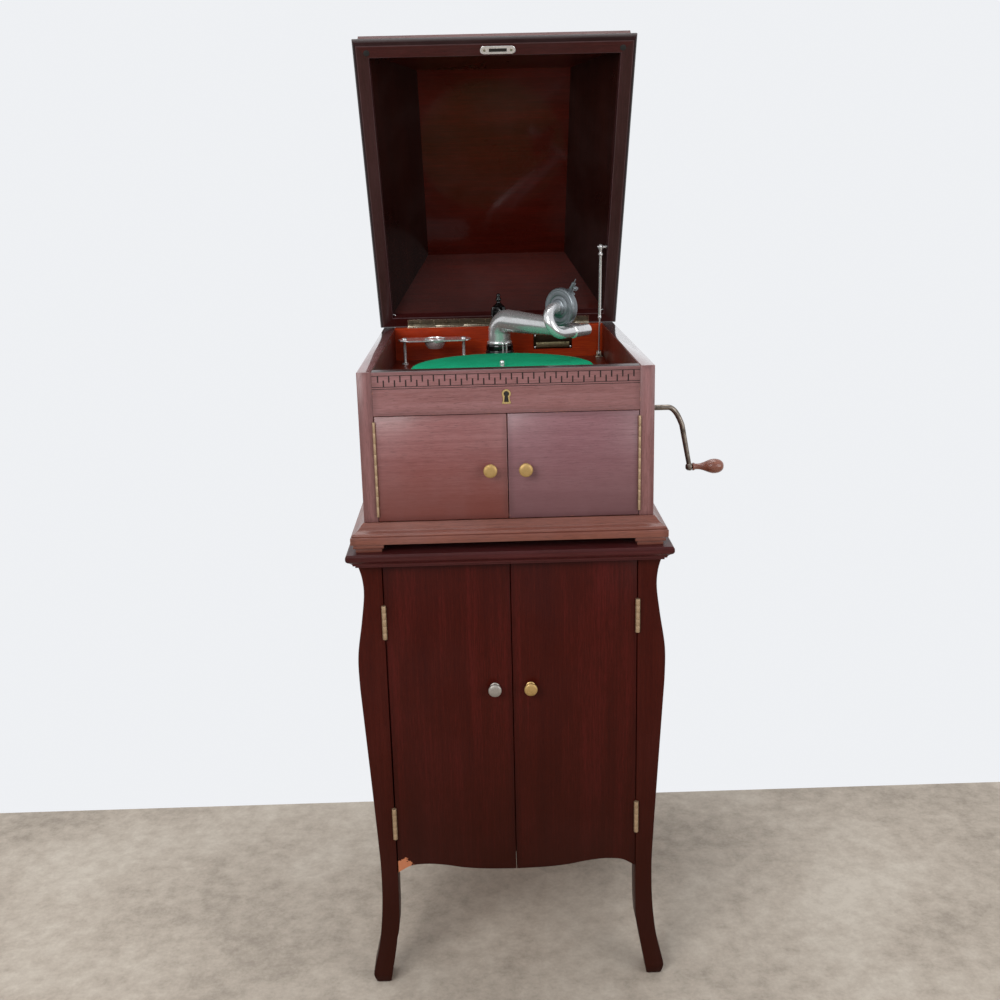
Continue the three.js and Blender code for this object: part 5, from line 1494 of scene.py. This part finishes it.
@dataclass
class ToneArm:
    """The tapering arm with its cross collar, the gooseneck, the sound box and the standard behind."""

    length: float = 177.0
    fall: float = 5.5
    bend: float = 22.0
    root: float = 18.5
    tip: float = 9.4
    seat: float = 20.8
    collar: float = 9.2
    collar_out: float = 17.0
    collar_in: float = 16.0
    neck: float = 8.3
    neck_straight: float = 27.0
    neck_bend: float = 20.6
    lean: float = math.radians(-22.8)
    box_radius: float = 29.5
    box_thick: float = 12.5
    box_out: float = 34.0
    needle_turn: float = math.radians(30.0)
    pivot: np.ndarray = field(init=False)
    level: float = field(init=False)
    columns: np.ndarray = field(init=False)

    def __post_init__(self) -> None:
        """Reads the arm's directions from the gooseneck's joint."""
        joint = joint_named("gooseneck_flip")
        across = np.array(joint["axis"], float)
        self.pivot = pivot_of("tone_arm_swing")
        self.level = float(pivot_of("gooseneck_flip")[2])
        along = np.cross(across, [0.0, 0.0, 1.0])
        self.columns = np.stack([along, across, [0.0, 0.0, 1.0]], axis=1)

    def arm_place(self, shell: Shell, start: float = 0.0, rise: float = 0.0) -> Shell:
        """Returns a shell drawn with the arm along +X, moved along the arm by start and up by rise."""
        root = np.array([self.pivot[0], self.pivot[1], self.level + rise])
        return shell.placed(self.columns, root + self.columns[:, 0] * start)

    def build_arm(self) -> None:
        """Makes the arm: a quarter bend, a long taper with a rounded end, and the cross collar."""
        foot = self.pivot[2] - self.level - self.fall
        turn = np.linspace(0.0, math.pi / 2, 24)
        rise = np.linspace(foot, -self.bend, 6, endpoint=False)
        upright = np.stack([0 * rise, 0 * rise, rise], axis=1)
        ahead, below = self.bend - self.bend * np.cos(turn), -self.bend + self.bend * np.sin(turn)
        elbow = np.stack([ahead, 0 * turn, below], axis=1)
        reach = self.length - 1.0
        run = np.linspace(0.02, 1.0, 40)
        straight = np.stack([self.bend + (reach - self.bend) * run, 0 * run, -self.fall * run], axis=1)
        share = np.concatenate([np.zeros(len(upright) + len(elbow)), run])
        radius = self.root + (self.tip - self.root) * share * (0.4 + 0.6 * share)
        tube = sweep(np.concatenate([upright, elbow, straight]), radius, (0, 1, 0), 48)
        wide = self.seat
        seat = [(0, foot), (wide, foot), (wide, foot + 2.6), (wide - 0.8, foot + 4.4), (0, foot + 4.5)]
        r, low, high = self.collar, -self.collar_in, self.collar_out
        collar = [
            (0, low), (r + 0.5, low), (r + 0.5, low + 1.6), (r, low + 2.2), (r, high - 1.6),
            (r - 0.5, high - 0.4), (r - 1.6, high), (0, high),
        ]
        cross = turning(collar, 0.5, 56).placed(LIE_BACK, (self.length, 0, -self.fall))
        shell = self.arm_place(tube.joined(turning(seat, 0.5, 64), cross), rise=self.fall)
        make("tapered_arm", shell, NICKEL, "tone_arm", ["tone_arm"])

    def neck_path(self) -> np.ndarray:
        """Returns the gooseneck's middle line: straight out, a half circle, and straight back above."""
        start = self.collar_in + 0.3
        turn_at = start + self.neck_straight
        turn = np.linspace(-math.pi / 2, math.pi / 2, 40)
        out = np.concatenate([
            np.linspace(start, turn_at, 8, endpoint=False),
            turn_at + self.neck_bend * np.cos(turn),
            np.linspace(turn_at, self.box_out + 3.9, 5)[1:],
        ])
        rise = np.concatenate([
            np.zeros(8), self.neck_bend + self.neck_bend * np.sin(turn), np.full(4, 2 * self.neck_bend),
        ])
        return np.stack([rise * math.sin(self.lean), -out, rise * math.cos(self.lean)], axis=1)

    def build_neck(self) -> None:
        """Makes the gooseneck with its bead at the collar."""
        square = (math.cos(self.lean), 0.0, -math.sin(self.lean))
        tube = sweep(self.neck_path(), self.neck, square, 40)
        start, r = self.collar_in + 0.3, self.neck
        bead = [
            (0, start), (r + 1.2, start), (r + 2.0, start + 0.9), (r + 2.0, start + 2.4),
            (r + 1.2, start + 3.3), (r, start + 3.8), (0, start + 3.8),
        ]
        shell = tube.joined(turning(bead, 0.6, 56).placed(LIE_FRONT, (0, 0, 0)))
        make("bent_gooseneck", self.arm_place(shell, self.length), NICKEL, "gooseneck", ["gooseneck"])

    def build_box(self) -> None:
        """Makes the sound box: a ringed back, a milled rim, the needle bar, its screws and the needle."""
        r, t = self.box_radius, self.box_thick
        profile = [
            (0, -3.7), (10.5, -3.7), (12.5, -2.6), (13.2, -0.2), (16, 0.2), (16.6, 0.9), (18, 0.9),
            (18.6, 0.2), (r - 6, 0.1), (r - 4.6, 0.6), (r - 3, 0.2), (r - 1, 1.2), (r, 3.2), (r, t - 3),
            (r - 0.8, t - 1), (r - 2.6, t), (r - 5, t), (r - 6, t - 3.5), (0, t - 3.5),
        ]
        body = turning(profile, 0.5, 96)
        needle = lathe([(0, 0), (0.9, 0), (0.85, 8), (0.45, 9.6), (0, 10.2)], 16)
        axle = (0, r + 8, t - 0.5)
        parts = [
            block((-1.6, -2, t - 4.5), (1.6, r - 3, t + 1.2), 0.3),
            block((-7, r - 7, t - 1), (7, r - 1, t + 4), 0.6),
            block((-3, r - 2, t - 3), (3, r + 6, t + 3.5), 0.8),
            stud(3.2, 0, 13).placed(LIE_BACK, (0, r + 1, t - 0.5)),
            needle.placed(LIE_BACK, (0, r + 11, t - 0.5)),
            stud(1.5, 0, 8).placed(LIE_X, axle),
            stud(3.6, 6, 9).placed(LIE_X, axle),
            stud(2.0, t + 4, t + 5.2).moved(-4.6, r - 4),
            stud(2.0, t + 4, t + 5.2).moved(4.6, r - 4),
        ]
        shell = body.joined(*parts)
        c, s = math.cos(self.needle_turn), math.sin(self.needle_turn)
        # its own Y goes up and its own Z back towards the arm, then the whole turns about that line
        stand = np.array([[1, 0, 0], [0, 0, 1], [0, 1, 0]], float)
        turned = np.array([[c, 0, s], [0, 1, 0], [-s, 0, c]]) @ stand
        rise = 2 * self.neck_bend
        centre = (rise * math.sin(self.lean), -self.box_out, rise * math.cos(self.lean))
        shell = shell.placed(turned, centre)
        make("round_sound_box", self.arm_place(shell, self.length), BOX_GREY, "gooseneck", ["sound_box"])

    def build_standard(self) -> None:
        """Makes the ringed base below the arm and the tall finial behind it, coloured near black, a
        painted reflection of the dark lid in plated metal.
        """
        x, y, seat = self.pivot
        low, top, gap = BOARD_TOP, CASE_TOP, 0.3
        base = [
            (19, low), (28, low), (28, low + 3), (26.6, low + 4.4), (23, low + 7), (22, low + 9),
            (22, low + 12), (24, low + 15), (24, low + 20), (22.5, low + 22), (22.5, seat - 3),
            (21.5, seat - gap), (14.5, seat - gap), (14.5, low + 24), (19, low + 20),
        ]
        ring = [(21, low + 16.2), (24.5, low + 16.2), (24.5, low + 17.8), (21, low + 17.8)]
        ball = [
            (0, low + 17), (1.7, low + 17), (1.5, seat - 2), (2.5, seat + 1), (2.3, seat + 3.2),
            (0, seat + 4),
        ]
        balls = [turning(ball, 0.6, 20).moved(side, -24.6 + 0.02 * side * side) for side in (5.0, 11.0)]
        finial = self.finial(low, top, seat)
        # Near black and glossy: a painted reflection of the dark lid in the plated standard, its sharp
        # highlights left to the lamps.
        reflection_black = replace(JAPAN, name="standard_painted_reflection", colour=linear("090808"), rough=0.05, share=0.05)
        shell = turning(base, 0.7, 72, closed=True).joined(finial).moved(x, y)
        make("arm_standard", shell, reflection_black, "cabinet", ["tone_arm_bracket"])
        make("standard_ring", turning(ring, 0.3, 72, closed=True).moved(x, y), BRASS, "cabinet")
        make("standard_studs", together(balls).moved(x, y), NICKEL, "cabinet")

    def finial(self, low: float, top: float, seat: float) -> Shell:
        """Returns the finial behind the arm, hollowed in front where the arm's foot turns.

        Args:
            low: the height of the board that it stands on.
            top: the height of the case's top.
            seat: the height at which the arm's foot starts.

        Returns:
            The finial, with the arm's pivot on its own Z.
        """
        behind, clear = 23.0, 21.4
        profile = [
            (0, low + 2), (13, low + 2), (13, top + 30), (12.4, top + 33), (11, top + 36), (8.5, top + 39),
            (5, top + 41.5), (3.3, top + 43.5), (3.2, top + 45), (4.6, top + 47), (4.8, top + 49.5),
            (2.8, top + 53), (3.6, top + 55.4), (2.6, top + 57.8), (0, top + 59),
        ]
        shell = turning(profile, 0.7, 48).moved(0, behind)
        points = shell.points.copy()
        reach = np.hypot(points[:, 0], points[:, 1])
        push = (points[:, 2] > seat - 0.6) & (points[:, 2] < top + 36.1) & (reach < clear)
        points[:, :2] *= np.where(push, clear / np.maximum(reach, 1e-6), 1.0)[:, None]
        return Shell(points, shell.faces)

    def build(self) -> None:
        """Makes the arm and everything on it."""
        self.build_arm()
        self.build_neck()
        self.build_box()
        self.build_standard()


@dataclass
class NeedleTray:
    """A plate with a cup for needles, on two posts with ball tops."""

    length: float = 122.0
    width: float = 44.0
    cup: float = 17.0
    posts: tuple = (-51.0, 48.0)

    def build(self) -> None:
        """Makes the tray."""
        box = Extent.of("needle_tray")
        x, y = (box.low[0] + box.high[0]) / 2, (box.low[1] + box.high[1]) / 2
        top = box.high[2] - 3.0
        half, r = self.length / 2, self.width / 2
        plate = layered(stadium(half - r, r, 24), ((-2.5, 0.6), (-2.0, 0.0), (-0.5, 0.0), (0.0, 0.6)))
        inner, outer = self.cup, self.cup + 1.5
        cup = [
            (0, -16), (12, -16), (outer - 1.4, -9), (outer, -5), (outer, 0.8), (outer - 0.4, 1.2),
            (inner, 1.2), (inner, -4.6), (inner - 6, -14.5), (0, -14.5),
        ]
        foot = BOARD_TOP - top
        post = [
            (0, foot), (6, foot), (6, foot + 1.6), (2.6, foot + 3.4), (2.6, -4), (4, -2.2), (4.4, 0),
            (4.4, 0.9), (3.4, 2.3), (1.8, 2.9), (0, 3),
        ]
        posts = [turning(post, 0.5, 32).moved(place) for place in self.posts]
        shell = plate.joined(turning(cup, 0.5, 56), *posts).moved(x, y, top)
        make("needle_shelf", shell, NICKEL, "cabinet", ["needle_tray"])


@dataclass
class Crank:
    """The winding crank: a bent bar with a turned wooden grip, through a flange on the case."""

    radius: float = 4.2
    straight: float = 61.0
    throw: float = 95.0
    lean: float = 29.0
    bend_share: float = 0.2
    grip: float = 53.0
    grip_radius: float = 11.5

    def build(self) -> None:
        """Makes the crank, its grip and its flange."""
        centre = pivot_of("crank_turn")
        start = Extent.of("crank").low[0]
        bend = CASE_HALF + self.straight
        lower = np.array([bend + self.lean * 0.56, 0.0, -self.throw * 0.3])
        corner = np.array([bend + self.lean * self.bend_share, 0.0, 0.0])
        end = np.array([bend + self.lean, 0.0, -self.throw])
        first = np.array([bend - 6.0, 0.0, 0.0])
        t = np.linspace(0.0, 1.0, 28)[:, None]
        curve = (1 - t) ** 2 * first + 2 * t * (1 - t) * corner + t**2 * lower
        shaft = np.linspace(np.array([start, 0.0, 0.0]), first, 8, endpoint=False)
        leg = np.linspace(lower, end, 14)[1:]
        path = np.concatenate([shaft, curve, leg])
        thinner = np.linspace(self.radius, self.radius * 0.86, len(leg))
        radius = np.concatenate([np.full(len(shaft) + len(curve), self.radius), thinner])
        bar = sweep(path, radius, (0, 1, 0), 32)
        boss = [
            (0, -6.2), (3.4, -5.8), (5.6, -3.4), (6.2, 0), (6.0, 2.6), (5.0, 3.4), (3, 4),
            (3, self.grip - 3), (0, self.grip - 3),
        ]
        shell = bar.joined(turning(boss, 0.7, 36).placed(LIE_X, end)).moved(0, centre[1], centre[2])
        make("bent_crank", shell, STEEL, "crank", ["crank"])
        r, length = self.grip_radius, self.grip
        outside = through(
            [
                (5.6, 4.3), (6.2, 5.6), (5.8, 7.4), (4.9, 8.6), (4.5, 11.5), (4.9, 16), (6.6, 22),
                (9.2, 28.5), (11.1, 34.5), (r, 39.5), (10.8, 44.5), (8.8, 49.2), (5.2, 52.6),
                (0.0, length + 0.6),
            ],
            90,
        )
        bore, pin = 3.3, 0.02
        inside = [(pin, length + 0.6), (pin, length - 2), (bore, length - 2), (bore, 4.3)]
        handle = lathe(np.concatenate([outside[:-1], inside]), 56, closed=True).placed(LIE_X, end)
        handle = handle.moved(0, centre[1], centre[2])
        wood = replace(
            CASE, name="grip_wood", grain=Grain.ALONG_X, dark=linear("6e3d2e"), middle=linear("8f5747"),
            light=linear("a86f5a"), rough=0.2, coat=0.5, haze=0.0,
        )
        make("turned_grip", handle, wood, "crank_handle", ["crank_handle"])
        y, z = centre[1:]
        profile = [
            (4.5, -18), (7.2, -18), (7.2, -0.7), (15, -0.7), (15, 0.9), (13.6, 2.1), (10.4, 2.6),
            (8.2, 3.2), (7.2, 4.6), (7.0, 6), (4.5, 6),
        ]
        flange = turning(profile, 0.5, 56, closed=True).placed(LIE_X, (CASE_HALF, y, z))
        ring = 11.3
        heads = []
        for turn in (math.pi / 2, math.pi / 2 + TAU / 3, math.pi / 2 - TAU / 3):
            place = (CASE_HALF + 1.5, y + ring * math.cos(turn), z + ring * math.sin(turn))
            heads.append(screw(1.9, 0.5).placed(LIE_X, place))
        make("crank_flange", flange.joined(*heads), WORN_NICKEL, "cabinet", ["crank_escutcheon"])


def dress_works() -> None:
    """Gives the motor, the horn and the brake, which keep their CAD shapes, their finishes."""
    dress_node("horn_elbow", JAPAN)
    dress_node("horn_flare", RAW)
    dress_node("motor_frame", JAPAN)
    dress_node("spring_barrel", STEEL)
    dress_node("governor", BRASS)
    dress_node("brake_lever", NICKEL)


# ---------------------------------------------------------------- studio


@dataclass
class Studio:
    """The floor, the soft lamps, the pale surroundings and the camera at the photograph's angle."""

    camera_place: tuple = (-34.2, -1539.3, 239.1)  # from the middle of the case's top front edge, mm
    yaw: float = 0.01455
    pitch: float = 0.26575
    roll: float = -0.0239
    focal: float = 1168.9  # pixels
    width: int = 1000
    floor_reach: float = 6.0  # metres, as the next
    floor_back: float = 0.265
    surround: Colour = (0.86, 0.875, 0.9)
    room_front: float = 0.7  # how bright the room in front is in a reflection
    room_light: float = 0.42

    def build_camera(self) -> None:
        """Makes the camera, its axes worked out from yaw, pitch and roll."""
        place = in_metres(np.array([0.0, FRONT, CASE_TOP]) + self.camera_place)
        cy, sy = math.cos(self.yaw), math.sin(self.yaw)
        cp, sp = math.cos(self.pitch), math.sin(self.pitch)
        ahead = np.array([sy * cp, cy * cp, -sp])
        right = np.array([cy, -sy, 0.0])
        up = np.cross(right, ahead)
        right, up = (
            right * math.cos(self.roll) + up * math.sin(self.roll),
            -right * math.sin(self.roll) + up * math.cos(self.roll),
        )
        data = bpy.data.cameras.new("photo_camera")
        data.sensor_width = 36.0
        data.lens = self.focal / self.width * data.sensor_width
        camera = in_scene("photo_camera", data)
        rows = [[right[i], up[i], -ahead[i], place[i]] for i in range(3)] + [[0, 0, 0, 1]]
        camera.matrix_world = Matrix(rows)
        bpy.context.scene.camera = camera

    def build_floor(self) -> None:
        """Makes the plain pale floor."""
        mesh = bpy.data.meshes.new("studio_floor")
        reach, back = self.floor_reach, self.floor_back
        corners = [(-reach, -reach, 0), (reach, -reach, 0), (reach, back, 0), (-reach, back, 0)]
        mesh.from_pydata(corners, [], [(0, 1, 2, 3)])
        floor = in_scene("studio_floor", mesh)
        graph = Graph(bpy.data.materials.new("pale_floor"))
        cloud = graph.noise(graph.cells((0.35, 0.35, 0.35)), 5.0, 0.6)
        stain = graph.noise(graph.cells((0.03, 0.03, 0.03)), 4.0, 0.65)
        speck = graph.noise(graph.cells((0.006, 0.006, 0.006)), 3.0, 0.7)
        mixed = cloud * 0.5 + stain * 0.35 + speck * 0.15
        stops = [(0.38, linear("9c9184")), (0.5, linear("b9ad9f")), (0.62, linear("cdc3b5"))]
        colour = graph.colours(mixed, stops)
        colour = graph.blend(speck.ramp(0.68, 0.76, 0.0, 0.5), colour, linear("6f665c"))
        graph.set(Base_Color=colour, Roughness=0.75 - cloud * 0.15)
        mesh.materials.append(graph.owner)

    def build_lamps(self) -> None:
        """Makes the soft lamps, each turned to the middle of the machine."""
        aim = Vector((-0.03, 0.0, 0.75))
        for name, place, size, power in (
            ("key_lamp", (-1.7, -2.6, 2.3), 1.8, 62.0),
            ("fill_lamp", (2.2, -2.2, 1.5), 2.0, 30.0),
            ("top_lamp", (-0.2, 0.5, 3.2), 2.0, 38.0),
        ):
            data = bpy.data.lights.new(name, "AREA")
            data.shape, data.size, data.energy = "SQUARE", size, power
            lamp = in_scene(name, data)
            lamp.location = place
            lamp.rotation_mode = "QUATERNION"
            lamp.rotation_quaternion = (aim - Vector(place)).to_track_quat("-Z", "Y")

    def build_world(self) -> None:
        """Makes the surroundings: pale to the camera, dimmer in front to reflections, soft as light."""
        world = bpy.data.worlds.new("studio_world")
        bpy.context.scene.world = world
        tree = Tree(world)
        path = tree.node("ShaderNodeLightPath")
        camera, glossy = (Value(tree, path.outputs[name]) for name in ("Is Camera Ray", "Is Glossy Ray"))
        place = tree.node("ShaderNodeTexCoord").outputs["Generated"]
        parts = tree.node("ShaderNodeSeparateXYZ", {0: place})
        mirrored = Value(tree, parts.outputs[1]).ramp(-0.45, 0.3, self.room_front, 1.0)
        other = glossy * mirrored + (1.0 - glossy) * self.room_light
        strength = camera + (1.0 - camera) * other
        background = tree.node("ShaderNodeBackground", {"Color": self.surround, "Strength": strength})
        tree.node("ShaderNodeOutputWorld", {"Surface": background.outputs[0]})

    def build(self) -> None:
        """Makes the studio."""
        self.build_camera()
        self.build_floor()
        self.build_lamps()
        self.build_world()
        bpy.context.scene.view_settings.view_transform = "Standard"


def main() -> None:
    """Builds the machine from the stand upwards, then the studio."""
    logging.basicConfig(level=logging.INFO, format="%(message)s")
    Studio().build()
    RecordCabinet().build()
    MachineCase().build()
    Lid().build()
    Turntable().build()
    ToneArm().build()
    NeedleTray().build()
    Crank().build()
    dress_works()


if __name__ == "__main__":
    main()
